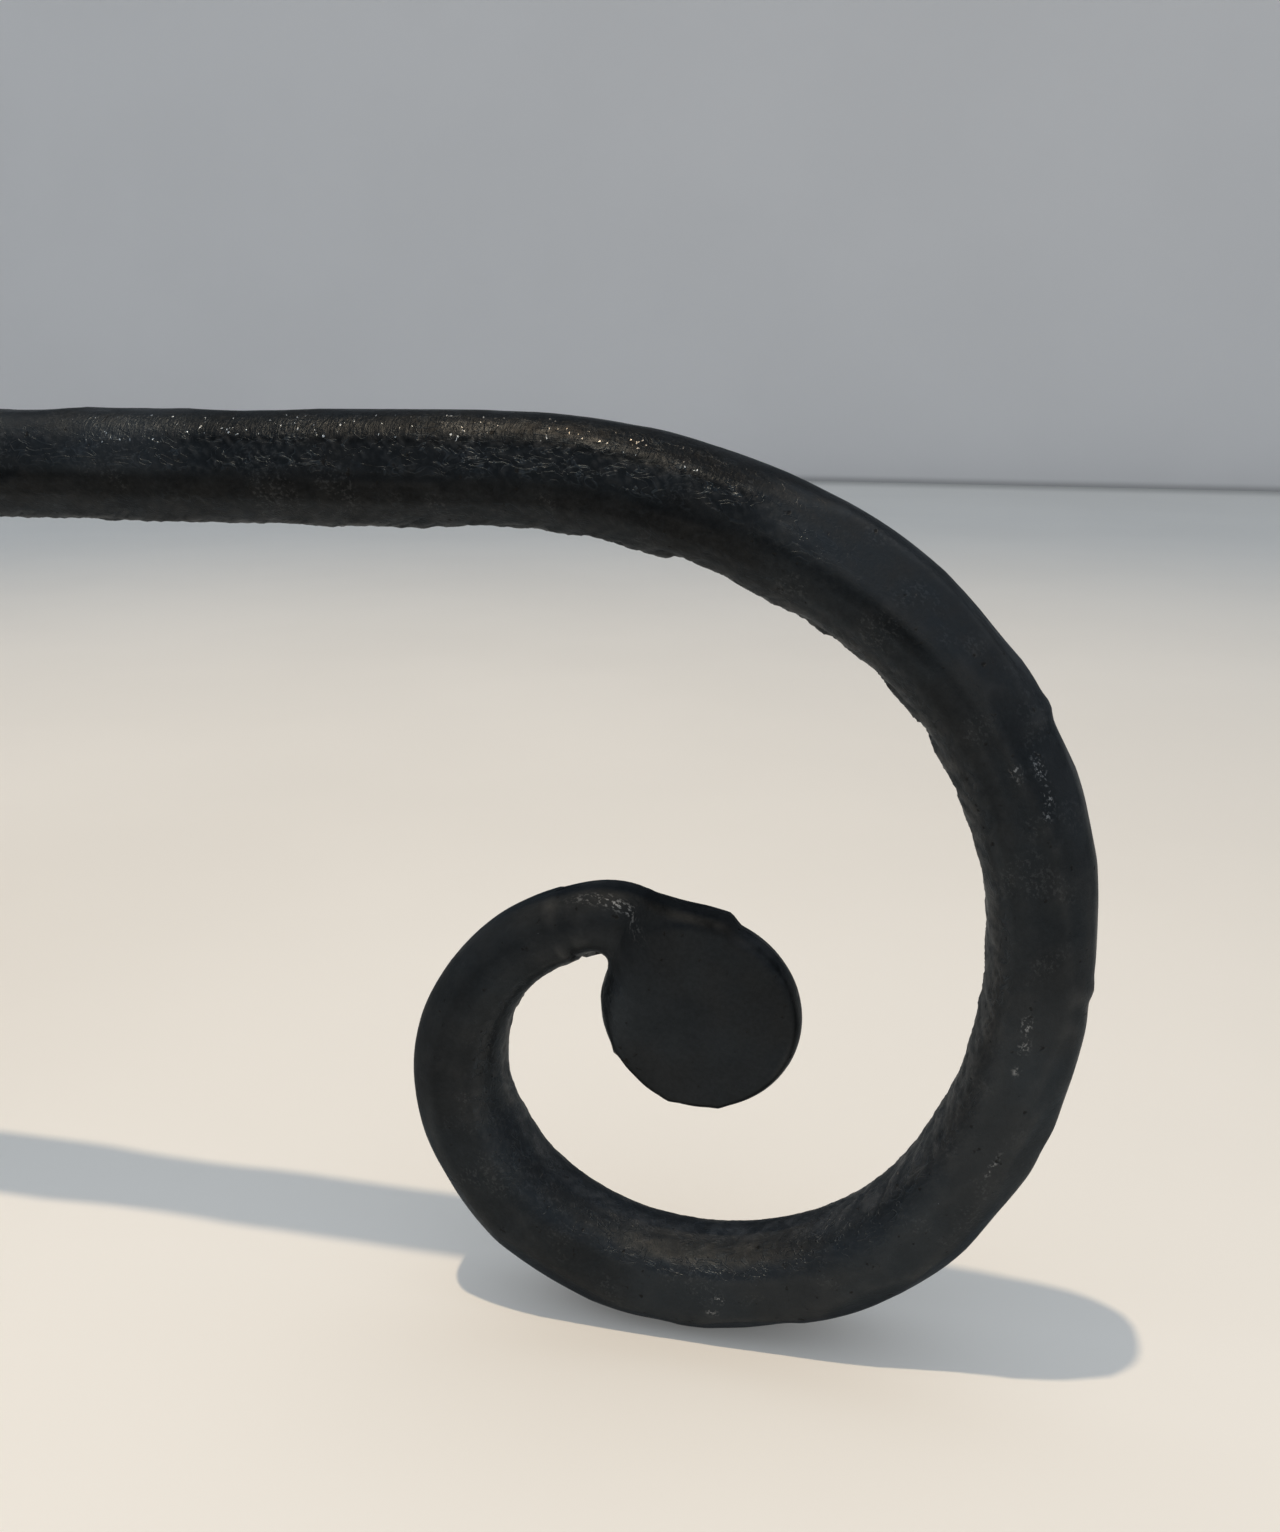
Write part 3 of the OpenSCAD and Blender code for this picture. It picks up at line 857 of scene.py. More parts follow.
def billet_marks(lie):
    """All the marks on the billet bar's scale. See piece for what each of them says."""
    along, side = lie[:, :, 0], side_of(lie)
    on_penny = smooth(along, *TO_PENNY)
    on_run = 1 - smooth(along, 0.03, 0.06)
    front_part = 1 - smooth(along, -0.062, -0.045)
    turns_square = 1 - smooth(along, -0.074, -0.066)
    warm_highlight = smooth(along, -0.02, 0.012)
    flecked = between(side, 28, 58, 8) * on_run
    creased = between(side, 60, 88, 8) * on_run * (1 - 0.5 * front_part)
    below = smooth(side, 84, 100) * on_run
    under = between(side, 108, 180, 14) * (1 - on_penny)
    inside = between(side, 126, 180, 12) * (1 - on_penny)
    inner = inside * (1 - on_run)
    narrower = 24 * smooth(along, 0.18, 0.21) - 14 * on_run - 12 * between(along, 0.06, 0.16, 0.02)
    strip = smooth(side, 136 + narrower, 152 + narrower) * (1 - on_penny) * (1 - 0.7 * on_run)
    outer_strip = (1 - smooth(side, 22, 42)) * between(along, 0.11, 0.30, 0.02)
    outer_strip *= 0.35 + 0.35 * between(along, 0.255, 0.285, 0.015)
    wrinkled = 0.10 + 0.25 * flecked + creased + 0.22 * under * on_run + 0.5 * inner
    wrinkled *= (1 - 0.5 * on_penny) * (1 - 0.6 * between(side, 92, 112, 8) * on_run)
    top_band = between(side, 8, 44, 10) * on_run
    sole = between(along, 0.2, 0.245, 0.02) * smooth(side, 128, 142)
    lit_facet = between(along, 0.045, 0.078, 0.01) * between(side, 25, 80, 12)
    # Painted warm highlight: brown on the run's top band, most towards the bend, and on the lit
    # facet; browner also on the under side, the sole and the inside
    browned_and_warm_lit = 0.03 + top_band * (0.08 + 0.40 * warm_highlight) + 0.12 * under * on_run
    browned_and_warm_lit += 0.10 * sole + 0.25 * lit_facet + 0.08 * inner
    # Painted glints: the sparks crowd in the run's top band, where the lamp's highlight falls
    sparkling = between(side, 27, 54 + 14 * front_part, 8) * (1 - smooth(along, 0.02, 0.05))
    sparkling = 0.10 + 0.90 * sparkling * (1 - turns_square)
    # Painted sheen, where the colour is made lighter: the outer face, the low outer side, the
    # curl's top and the lit facet
    outer_face = (1 - smooth(side, 40, 75)) * between(along, 0.08, 0.30, 0.02)
    painted_low_sheen = between(along, 0.135, 0.225, 0.015) * between(side, 60, 126, 12)
    curl = between(along, 0.27, 0.32, 0.01) * between(side, 0, 62, 10)
    painted_sheen = np.maximum(np.maximum(lit_facet, painted_low_sheen), 0.6 * curl)
    # Painted shade: a dark band along the side at the shoulder, and the hollow next to it
    shade_streak = between(side, 82, 98, 13) * between(along, 0.03, 0.066, 0.014)
    shade_streak *= 0.75 + 0.25 * patches(lie, 0.011, 7)
    hollow_shade = between(along, 0.06, 0.1, 0.015) * smooth(side, 98, 112)
    upper = between(side, 14, 56, 10) * on_run * (1 - front_part)
    # Painted shade over dry dark scale: darker on the run's under side, its top band and its
    # creases
    matte_and_shade = 0.33 + 0.42 * below + 0.32 * upper + 0.16 * creased
    out = lie[:, :, 2]
    up = out / out.max(axis=1, keepdims=True)
    ridge = between(along, 0.330, 0.343, 0.005) * smooth(up, 0.84, 0.94)
    # Painted shade laid over the lamp's highlights on the penny's top, the sole and the ridge, and
    # in the dark band and the hollow
    matte_and_shade += 0.12 * on_penny * smooth(out, -0.010, 0.016) + 0.12 * sole + 0.2 * ridge
    matte_and_shade = np.maximum(matte_and_shade + 0.15 * hollow_shade, 0.70 * shade_streak)
    # Painted sheen: lighter on the inner side, the outer face, the sheen places above, and the
    # front part except underneath
    matte_and_shade -= 0.34 * inside + 0.28 * outer_face
    matte_and_shade *= (1 - painted_sheen) * (1 - 0.8 * front_part * (1 - below))
    # Painted shade on the top near the front, and where the bar turns square, most in a band along
    # its side
    matte_and_shade += 0.28 * front_part * (1 - smooth(side, 26, 40))
    matte_and_shade += turns_square * (0.1 + 0.15 * between(side, 62, 96, 9) - 0.2 * below)
    rubbed = 0.05 * patches(lie, 0.007, 8, 0.1, 0.4) * (1 - smooth(along, 0.29, 0.31))
    curl_top = between(along, 0.285, 0.325, 0.015) * (1 - smooth(side, 60, 100))
    # Pale as rubbed edges and partly a painted highlight: the inner strip along its ribs, the outer
    # strip and the penny's rim
    edged_and_highlit = np.maximum(strip * (0.35 + 0.65 * smooth(ribs(lie), -0.2, 0.25)), outer_strip)
    rim = np.maximum(smooth(up, 0.86, 0.97), smooth(along, 0.3603, 0.3618))
    edged_and_highlit = np.maximum(edged_and_highlit, 0.35 * on_penny * rim)
    dull = np.maximum(np.maximum(0.45 * sole, 0.9 * curl_top), ridge)
    return {"wrinkled": wrinkled, "browned_and_warm_lit": np.clip(browned_and_warm_lit, 0, 1), "sparkling": sparkling,
            "scuffed": np.maximum(scuff_marks(lie), rubbed), "matte_and_shade": np.clip(matte_and_shade, 0, 1),
            "dull": dull, "edged_and_highlit": edged_and_highlit, "spared": smooth(along, 0.322, 0.330)}


def billet_skin(lie, wrinkled):
    """Height of the billet bar's scale above the hammered metal."""
    along, side = lie[:, :, 0], side_of(lie)
    on_penny = smooth(along, *TO_PENNY)
    height = unevenness(lie)
    height += 0.00018 * lumps(lie, 0.024, 2, 1) * (1 - 0.5 * on_penny)
    height += 0.00006 * lumps(lie, 0.007, 2, 2) * (1 - 0.6 * on_penny)
    ridges = 1 - 4 * np.abs(lumps(leaning(lie, 0.4), 0.0017, 2, 3, (1.4, 1, 1)))
    height += 0.00012 * wrinkled * np.maximum(ridges, 0)
    height += 0.00005 * wrinkled * lumps(lie, 0.0011, 2, 4)
    ribbed = smooth(side, 132, 150) * (1 - on_penny) * (1 - 0.6 * smooth(along, 0.175, 0.20))
    height += 0.00026 * ribbed * ribs(lie)
    torn = smooth(side, 138, 160) * between(along, 0.015, 0.085, 0.02)
    torn = np.maximum(torn, 0.3 * smooth(side, 140, 170)) * (1 - on_penny)
    rags = smooth(lumps(leaning(lie, -0.8, 0.6), 0.0068, 3, 5, (1.2, 1, 1)), -0.05, 0.22)
    return height + 0.00065 * torn * (rags - 0.55)


# The pale scuffs: place, side, half length, half width and strength
SCUFFS = (
    (0.0925, 151, 0.0020, 0.0007, 0.9),
    (0.0965, 153, 0.0012, 0.0006, 0.9),
    (0.0990, 160, 0.0009, 0.0005, 0.7),
    (0.0915, 173, 0.0011, 0.0006, 0.8),
    (0.1320, 190, 0.0011, 0.0006, 0.9),
    (0.1355, 188, 0.0010, 0.0006, 0.8),
    (0.1400, 189, 0.0005, 0.0004, 0.8),
    (0.1570, 172, 0.0022, 0.0003, 0.6),
    (0.2135, 188, 0.0007, 0.0005, 0.9),
    (0.2150, 172, 0.0006, 0.0004, 0.8),
    (0.3257, 126, 0.0034, 0.0008, 1.0),
)


def scuff_marks(lie):
    """Where the pale scuffs are, from 0 to 1."""
    marks = np.zeros(lie.shape[:2])
    for along, side, length, width, strength in SCUFFS:
        way = way_of(side)
        reach = lie[:, :, 1:] @ way
        off = lie[:, :, 1:] @ np.array([-way[1], way[0]])
        d = ((lie[:, :, 0] - along) / length) ** 2 + (off / width) ** 2
        marks = np.maximum(marks, strength * np.exp(-d) * (reach > 0))
    return marks


def make_billet_bar(material):
    stations = billet_line()
    lie = straight(stations, BILLET_SIDES)
    round_edges(lie, stations, bends_end(1) - PENNY_R + PENNY_REACH, 1)
    strike(lie, billet_blows())
    marks = billet_marks(lie)
    points = raised(bent(lie, stations), billet_skin(lie, marks["wrinkled"]))
    points[:, :, 2] = (points[:, :, 2] + np.hypot(points[:, :, 2], SOLE_SOFT)) / 2
    return piece("forged_billet_bar", "billet_bar", points, lie, material, marks)


# ---------------------------------------------------------------- the upright

UPRIGHT_STEP = 0.0011
UPRIGHT_SIDES = 96
UPRIGHT_T = 0.020
UPRIGHT_TOP_T = 0.016
UPRIGHT_BASE_T = 0.025
BILLET_EYE_D = 0.035
BILLET_EYE_PROUD = 0.0005
FOOT_TENON_D = 0.012
FINIAL_TENON_D = 0.010
STOP_TENON_D = 0.008
UPWARD = -math.pi / 2

WASHER_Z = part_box("foot_washer")[0].z
UPRIGHT_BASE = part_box("base_collar")[1].z
UPRIGHT_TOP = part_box("finial_collar")[0].z
UPRIGHT_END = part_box("upright")[1].z


def rounder_of(a, b, soft):
    """The larger of two sizes, with the step between them softened."""
    return (a + b + math.sqrt((a - b) ** 2 + soft ** 2)) / 2


def eye_chord(off, diameter):
    """Width of a round eye at a distance from its centre."""
    return 2 * math.sqrt(max((diameter / 2) ** 2 - off ** 2, 0))


def round_rows(rows, x=AXIS):
    """Stations of a round bar that stands upright at x, from heights and radii."""
    return [(z, x, z, UPWARD, 2 * r, 2 * r, ROUND) for z, r in rows]


def upright_size(z):
    """Thickness, width and squareness of the upright above its base."""
    above = z - UPRIGHT_BASE
    upset = 1 - float(smooth(above, UPRIGHT_BASE_T * 0.2, UPRIGHT_BASE_T * 0.55))
    taper = min(max((z - BILLET_Z - BILLET_EYE_D / 2) / (UPRIGHT_TOP - BILLET_Z), 0), 1)
    body = UPRIGHT_T + (UPRIGHT_TOP_T - UPRIGHT_T) * taper
    body += (UPRIGHT_BASE_T - UPRIGHT_T) * upset
    eye = eye_chord(z - BILLET_Z, BILLET_EYE_D)
    in_eye = 1 - float(smooth(abs(z - BILLET_Z), BILLET_EYE_D * 0.3, BILLET_EYE_D * 0.55))
    wide = rounder_of(body, eye, 0.0015)
    return body + 2 * BILLET_EYE_PROUD * in_eye, wide, SQUARE - 0.35 * in_eye


def upright_line():
    rows = round_rows(rivet(WASHER_Z, FOOT_TENON_D))
    rows += round_rows([(z, FOOT_TENON_D / 2) for z in (WASHER_Z, UPRIGHT_BASE)])
    steps = math.ceil((UPRIGHT_TOP - UPRIGHT_BASE) / UPRIGHT_STEP)
    for i in range(steps + 1):
        z = UPRIGHT_BASE + (UPRIGHT_TOP - UPRIGHT_BASE) * i / steps
        rows.append((z, AXIS, z, UPWARD, *upright_size(z)))
    return rows + round_rows([(z, FINIAL_TENON_D / 2) for z in (UPRIGHT_TOP, UPRIGHT_END)])


def upright_blows():
    low, high = UPRIGHT_BASE + 0.008, UPRIGHT_TOP - 0.004
    above_eye = BILLET_Z + BILLET_EYE_D / 2
    blows = random_blows(21, above_eye, high, 0.021, (0, OUTER, NEAR, INNER), (0.00015, 0.0004),
                         (0.018, 0.034))
    blows += random_blows(22, low, above_eye, 0.014, (0, NEAR), (0.0001, 0.0003), (0.01, 0.018))
    # Long chamfers that run out below the finial and above the eye
    chamfered = (above_eye + high) / 2
    blows += [(chamfered, side, 0.0026, (high - above_eye) * 0.9) for side in (45, 135, 225, 315)]
    return blows


def plain_skin(lie, seed, wrinkled, swelling=0.00016):
    """Height of the scale on a piece that was forged all over."""
    height = swelling * lumps(lie, 0.02, 2, seed)
    height += 0.00007 * lumps(lie, 0.006, 2, seed + 1)
    ridges = 1 - 2 * np.abs(lumps(leaning(lie, 0.6), 0.0021, 3, seed + 2, (1.5, 1, 1)))
    height += wrinkled * 0.0001 * ridges
    height += wrinkled * 0.00004 * lumps(lie, 0.0011, 2, seed + 3)
    return height


def scale_marks(lie, seed, wrinkled):
    """Wrinkles, sparks and brown patches, scattered over a piece."""
    return {"wrinkled": 0.15 + wrinkled * patches(lie, 0.03, seed + 9),
            "browned_and_warm_lit": 0.6 * patches(lie, 0.02, seed + 10, 0.0, 0.5),
            "sparkling": 0.15 + 0.6 * patches(lie, 0.025, seed + 11, 0.0, 0.5)}


def forged(name, node, stations, sides, blows, seed, wrinkled, material):
    """A bar that is struck while straight, bent along its stations, and scaled."""
    lie = straight(stations, sides)
    strike(lie, blows)
    marks = scale_marks(lie, seed, wrinkled)
    points = raised(bent(lie, stations), plain_skin(lie, seed, marks["wrinkled"]))
    return piece(name, node, points, lie, material, marks)


# ---------------------------------------------------------------- the front foot

FOOT_STEP = 0.0011
FOOT_SIDES = 80
FOOT_GIRTH = FOOT_BAR / BAR
CROWN_EYE_D = 0.032
CROWN_SQUARE = 0.2
CROWN_EASES = 0.016


def foot_line():
    """Stations from one penny over the crown to the other, in the plane across the andiron."""
    half = placed(scroll_rows(FOOT_BENDS, FOOT_GIRTH, FOOT_STEP, FOOT_STEP), CROWN / 2, CROWN_Z)
    half = [(s + CROWN / 2, *rest) for s, *rest in half]
    crown = []
    steps = math.ceil(CROWN / FOOT_STEP)
    for i in range(steps):
        s = CROWN * (i / steps - 0.5)
        wide = rounder_of(FOOT_BAR, eye_chord(s, CROWN_EYE_D), 0.002)
        eased = 1 - float(smooth(abs(s), CROWN / 2 - CROWN_EASES, CROWN / 2))
        crown.append((s, s, CROWN_Z, 0.0, FOOT_BAR, wide, CROWN_SQUARE * eased))
    mirrored = [(-s, -x, z, -turn, *size) for s, x, z, turn, *size in reversed(half)]
    return mirrored[:-1] + crown + half


def foot_blows():
    bend = CROWN / 2
    far = bend + 0.19
    depth = (0.0002, 0.0005)
    blows = []
    for sign, seed in ((1, 31), (-1, 41)):
        made = random_blows(seed, bend, far, 0.013, (OUTER,), depth, (0.01, 0.016))
        made += random_blows(seed + 1, bend, far, 0.017, (40, 140), depth, (0.012, 0.024))
        made += random_blows(seed + 2, 0.02, far + 0.03, 0.024, (0, NEAR), depth, (0.018, 0.034))
        blows += [(sign * place, *rest) for place, *rest in made]
    blows += random_blows(51, -bend, bend, 0.02, (OUTER,), (0.0001, 0.0002), (0.015, 0.03))
    return blows


def foot_skin(lie, seed):
    """Height of the front foot's scale: rough under the bends, smooth on the pennies."""
    along, side = np.abs(lie[:, :, 0]), side_of(lie)
    on_penny = smooth(along, CROWN / 2 + 0.232, CROWN / 2 + 0.24)
    under = smooth(side, 98, 128) * (1 - 0.8 * on_penny)
    height = plain_skin(lie, seed, 0.15 + 0.85 * under)
    rags = lumps(leaning(lie, -0.8), 0.0038, 3, seed + 5, (1.2, 1, 1))
    torn = smooth(side, 140, 170) * (1 - on_penny)
    return height + 0.0003 * torn * (np.abs(rags) - 0.25)


def make_front_foot(material):
    stations = foot_line()
    lie = straight(stations, FOOT_SIDES)
    starts = CROWN / 2 + bends_end(FOOT_BENDS) - (PENNY_R - PENNY_REACH) * FOOT_GIRTH
    for sign in (1, -1):
        half = lie[:, 0, 0] * sign > 0
        part = lie[half]
        round_edges(part, [s for s, kept in zip(stations, half) if kept], starts, FOOT_GIRTH)
        lie[half] = part
    strike(lie, foot_blows())
    points = raised(bent(lie, stations), foot_skin(lie, 61))
    turned = np.stack([AXIS - points[:, :, 1], points[:, :, 0], points[:, :, 2]], axis=2)
    return piece("forged_front_foot", "front_foot", turned, lie, material,
                 scale_marks(lie, 62, 0.5))


# ---------------------------------------------------------------- collars and washers

COLLAR_SIDES = 144
EDGE_STEPS = 7
FACE_STEPS = 9
WEAR_BORE = 0.0003
# Rounding of the edges: of a round collar as a share of its height, and of a square one
COLLAR_EDGE = 0.4
PLATE_EDGE = 0.0009
# Flats hammered on a collar: how many, how far they lean, and how deep they are
RIM_BLOWS = 18
RIM_LEAN = 0.5
RIM_DEPTH = (0.0001, 0.0003)


def loop_of(bore, outer, low, high, edge):
    """Points round a collar's section for every direction from its axis, as radius and height:
    down the outer side, in along the underside, up the bore and out along the top."""
    loop = []

    def corner(radius, height, size, start):
        for i in range(EDGE_STEPS + 1):
            a = start - math.pi / 2 * i / EDGE_STEPS
            loop.append((radius + size * math.cos(a), height + size * math.sin(a) + 0 * radius))

    def flat(a, b, height):
        for i in range(1, FACE_STEPS):
            loop.append((a + (b - a) * i / FACE_STEPS, height + 0 * a))

    corner(outer - edge, high - edge, edge, math.pi / 2)
    corner(outer - edge, low + edge, edge, 0.0)
    flat(outer - edge, bore + WEAR_BORE, low)
    corner(bore + WEAR_BORE, low + WEAR_BORE, WEAR_BORE, -math.pi / 2)
    corner(bore + WEAR_BORE, high - WEAR_BORE, WEAR_BORE, -math.pi)
    flat(bore + WEAR_BORE, outer - edge, high)
    return np.array(loop)


def round_at(a, radius):
    return radius + 0 * a


def square_at(a, half, cut=0.0):
    """Distance from the axis to the side of a square, with its corners cut off or not."""
    c, s = np.abs(np.cos(a)), np.abs(np.sin(a))
    side = half / np.maximum(c, s)
    return np.minimum(side, (2 * half - cut) / (c + s)) if cut else side


def hole_of(tenon):
    """Radius of the hole that a tenon goes through, or half the side of a square hole."""
    return (tenon + HOLE_GAP) / 2


def collar(node, tenon, seed, material, on_billet=False):
    """A collar or washer in the box of its node: round and about the upright's axis, or square
    and about the billet bar's."""
    low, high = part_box(node)
    a = np.arange(COLLAR_SIDES) / COLLAR_SIDES * 2 * math.pi
    if on_billet:
        bore = square_at(a, hole_of(tenon))
        outer = square_at(a, (high.y - low.y) / 2, PLATE_CUT)
        loop = loop_of(bore, outer, low.x, high.x, PLATE_EDGE)
    else:
        bore = round_at(a, hole_of(tenon))
        outer = round_at(a, (high.x - low.x) / 2)
        loop = loop_of(bore, outer, low.z, high.z, COLLAR_EDGE * (high.z - low.z))
    radius, height = loop[:, 0].T, loop[:, 1].T
    first, second = radius * np.cos(a)[:, None], radius * np.sin(a)[:, None]
    x, y, z = centre = np.array(middle(node))
    points = [height, y + first, z + second] if on_billet else [x + first, y + second, height]
    points = np.stack(points, axis=2)
    outside = smooth(radius, bore[:, None] + 0.001, bore[:, None] + 0.003)
    rng = np.random.default_rng(seed)
    for _ in range(RIM_BLOWS):
        turn = rng.uniform(0, 2 * math.pi)
        lean = rng.uniform(-RIM_LEAN, RIM_LEAN)
        spoke = (math.cos(turn) * math.cos(lean), math.sin(turn) * math.cos(lean))
        way = np.array((math.sin(lean), *spoke) if on_billet else (*spoke, math.sin(lean)))
        reach = (points - centre) @ way
        limit = reach.max() - rng.uniform(*RIM_DEPTH)
        points -= np.maximum(reach - limit, 0)[:, :, None] * way
    skin = plain_skin(points, seed, 0.5, 0.0001) * outside
    return piece("hammered_" + node, node, raised(points, skin, True), points,
                 material, scale_marks(points, seed, 0.4), closed=True)


# ---------------------------------------------------------------- the finial and the log stop

BALL_SIDES = 112
BALL_STEPS = 90
BALL_FACETS = 150
BALL_NECK_D = 0.019
STOP_D = 0.012
STOP_FLANGE = 0.004
STOP_SIDES = 80
PIN_SIDES = 40
PIN_DOME = 0.0007
PIN_DOME_STEPS = 8
PIN_STEPS = 12


def dented_ball(points, centre, radius, seed, count, depth):
    """Small flats hammered all over a ball."""
    rng = np.random.default_rng(seed)
    golden = math.pi * (3 - math.sqrt(5))
    for i in range(count):
        height = 1 - 2 * (i + 0.5) / count
        turn = golden * i + rng.uniform(-0.15, 0.15)
        ring = math.sqrt(1 - height ** 2)
        way = np.array([ring * math.cos(turn), ring * math.sin(turn), height])
        reach = (points - centre) @ way
        press = np.maximum(reach - (radius - rng.uniform(*depth)), 0)
        points -= press[:, :, None] * way


def ball_rows(centre_z, radius, neck_r, start_z, steps):
    """Round stations from a neck over a ball to its top."""
    first = math.asin(neck_r / radius)
    meets = centre_z - radius * math.cos(first)
    stem = max(math.ceil((meets - start_z) / 0.0008), 2)
    rows = [(start_z + (meets - start_z) * i / stem, neck_r) for i in range(stem)]
    for i in range(steps + 1):
        a = first + (math.pi - first) * i / (steps + 0.5)
        rows.append((centre_z - radius * math.cos(a), radius * math.sin(a)))
    return rows


def make_finial_ball(material):
    low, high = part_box("finial_ball")
    radius = (high.x - low.x) / 2
    centre_z = high.z - radius
    stations = round_rows(ball_rows(centre_z, radius, BALL_NECK_D / 2, low.z, BALL_STEPS))
    lie = straight(stations, BALL_SIDES)
    points = bent(lie, stations)
    dented_ball(points, np.array([AXIS, 0, centre_z]), radius, 71, BALL_FACETS,
                (0.00025, 0.0006))
    points = raised(points, plain_skin(lie, 72, 0.35, 0.0001))
    return piece("forged_finial_ball", "finial_ball", points, lie, material,
                 scale_marks(lie, 74, 0.35))


def make_log_stop(material):
    low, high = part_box("log_stop")
    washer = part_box("stop_washer")[0].z
    top = BILLET_Z + BAR / 2
    axis = middle("log_stop").x
    head = (high.x - low.x) / 2
    rows = rivet(washer, STOP_TENON_D, 12)
    rows += [(washer, STOP_TENON_D / 2), (top, STOP_TENON_D / 2)]
    flange = [(top + STOP_FLANGE * (1 - math.cos(a)) / 2, head - 0.0012 * (1 - math.sin(a)))
              for a in np.linspace(0, math.pi, 12)]
    rows += flange
    rows += ball_rows(high.z - head, head, STOP_D / 2, top + STOP_FLANGE, 48)
    stations = round_rows(rows, axis)
    lie = straight(stations, STOP_SIDES)
    strike(lie, random_blows(81, top + 0.006, high.z - 2 * head, 0.01, (10, 80, 150, 220, 300),
                             (0.00015, 0.0004), (0.01, 0.02)))
    points = bent(lie, stations)
    upper = points[:, :, 2] > high.z - 1.9 * head
    kept = points.copy()
    dented_ball(points, np.array([axis, 0, high.z - head]), head, 82, 46, (0.0002, 0.0005))
    points = np.where(upper[:, :, None], points, kept)
    points = raised(points, plain_skin(lie, 83, 0.4, 0.0001))
    return piece("forged_log_stop", "log_stop", points, lie, material,
                 scale_marks(lie, 84, 0.35))


def make_finial_pin(material):
    low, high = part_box("finial_pin")
    radius = (high.z - low.z) / 2
    z = (low.z + high.z) / 2
    start, end = low.x + PIN_DOME, high.x - PIN_DOME
    rows = dome(start, PIN_DOME, radius, PIN_DOME_STEPS, -1)
    rows += [(start + (end - start) * i / PIN_STEPS, radius) for i in range(1, PIN_STEPS)]
    rows += reversed(dome(end, PIN_DOME, radius, PIN_DOME_STEPS, 1))
    stations = [(x, x, z, 0.0, 2 * r, 2 * r, ROUND) for x, r in rows]
    lie = straight(stations, PIN_SIDES)
    points = raised(bent(lie, stations), plain_skin(lie, 91, 0.3, 0.00006))
    return piece("peened_finial_pin", "finial_pin", points, lie, material)


# ---------------------------------------------------------------- holes

BORE_SIDES = 48


def cut_hole(target, start, end, radius, square=False):
    """Cuts a round or square hole from one point to another out of a piece."""
    way = Vector(end) - Vector(start)
    sides = 4 if square else BORE_SIDES
    reach = radius * math.sqrt(2) if square else radius
    turn = way.to_track_quat("Z", "Y")
    off = math.pi / 4 if square else 0.0
    ring = [Vector((math.cos(off + 2 * math.pi * i / sides),
                    math.sin(off + 2 * math.pi * i / sides), 0)) * reach for i in range(sides)]
    verts = [Vector(start) + turn @ p for p in ring] + [Vector(end) + turn @ p for p in ring]
    faces = [tuple(reversed(range(sides))), tuple(range(sides, 2 * sides))]
    faces += [(i, (i + 1) % sides, sides + (i + 1) % sides, sides + i) for i in range(sides)]
    mesh = bpy.data.meshes.new("drift")
    mesh.from_pydata([tuple(v) for v in verts], [], faces)
    drift = linked("drift", mesh)
    cut = target.modifiers.new("hole", "BOOLEAN")
    cut.operation = "DIFFERENCE"
    cut.solver = "MANIFOLD"
    cut.object = drift
    bpy.context.view_layer.update()
    graph = bpy.context.evaluated_depsgraph_get()
    made = bpy.data.meshes.new_from_object(target.evaluated_get(graph))
    target.modifiers.clear()
    target.data = made
    bpy.data.objects.remove(drift)


# ---------------------------------------------------------------- stage and camera

EYE = (0.19308, -0.20625, 0.1637)
EYE_SWING = math.radians(12.7)
EYE_DIP = math.radians(16.5)
# The lens and the width of the sensor in millimetres, and how near the camera sees
LENS = 32.43
SENSOR_WIDE = 36.0
SEEN_FROM = 0.01
FLOOR_HALF = 6.0
WALL_FOOT = ((0.1708, 1.7330), (0.5817, 1.7120))
WALL_HALF = 6.0
WALL_HIGH = 2.2


def aimed(name, data, place, way):
    """A camera or lamp at a place, that looks along a direction."""
    made = linked(name, data)
    made.location = place
    made.rotation_mode = "QUATERNION"
    made.rotation_quaternion = way.to_track_quat("-Z", "Y")
    return made


def make_camera():
    data = bpy.data.cameras.new("camera")
    data.lens = LENS
    data.sensor_width = SENSOR_WIDE
    data.clip_start = SEEN_FROM
    look = Vector((-math.sin(EYE_SWING) * math.cos(EYE_DIP),
                   math.cos(EYE_SWING) * math.cos(EYE_DIP), -math.sin(EYE_DIP)))
    bpy.context.scene.camera = aimed("camera", data, EYE, look)


def toned(colour, share):
    """A colour at a share of its tone."""
    return tuple(c * share for c in colour[:3]) + (1,)


def painted(name, colour, mottle, rough, shade_at, lift_at):
    """A painted surface with painted shade at its corner, and a painted glow that lifts its
    tone, which only the eye and reflections see.
    """
    material = bpy.data.materials.new(name)
    tree = emptied(material)
    place = add(tree, "TexCoord").outputs["Object"]
    cloud = grained(tree, place, 4, 3, 0.5, 0.35, 0.65)
    paint = blend(tree, cloud, toned(colour, 1 - mottle), colour)
    paint = blend(tree, shade_at(tree, place), toned(colour, CORNER), paint)
    path = add(tree, "LightPath").outputs
    seen = maths(tree, "MAXIMUM", path["Is Camera Ray"], path["Is Glossy Ray"])
    seen = maths(tree, "MAXIMUM", seen, path["Is Transmission Ray"])
    lift = times(tree, seen, lift_at(tree, place))
    surface = add(tree, "BsdfPrincipled", {"Base Color": paint, "Roughness": rough,
                                           "Emission Color": paint, "Emission Strength": lift})
    add(tree, "OutputMaterial", {"Surface": surface.outputs["BSDF"]})
    return material


def sheet_of(name, corners, material):
    mesh = bpy.data.meshes.new(name)
    mesh.from_pydata(corners, [], [tuple(range(len(corners)))])
    mesh.materials.append(material)
    made = linked(name, mesh)


# Where floor and wall meet, their paint is shaded to this share of its tone
CORNER = 0.6
FLOOR_SHADED = 0.10
WALL_SHADED = 0.010
# The painted pool of light on the floor, a glow: its middle, its radii, and its lift outside and
# inside
POOL = (0.13, -0.06, 0)
POOL_REACH = (0.08, 0.34)
FLOOR_LIFT = (0.0, 0.11)
WALL_LIFT = 0.04


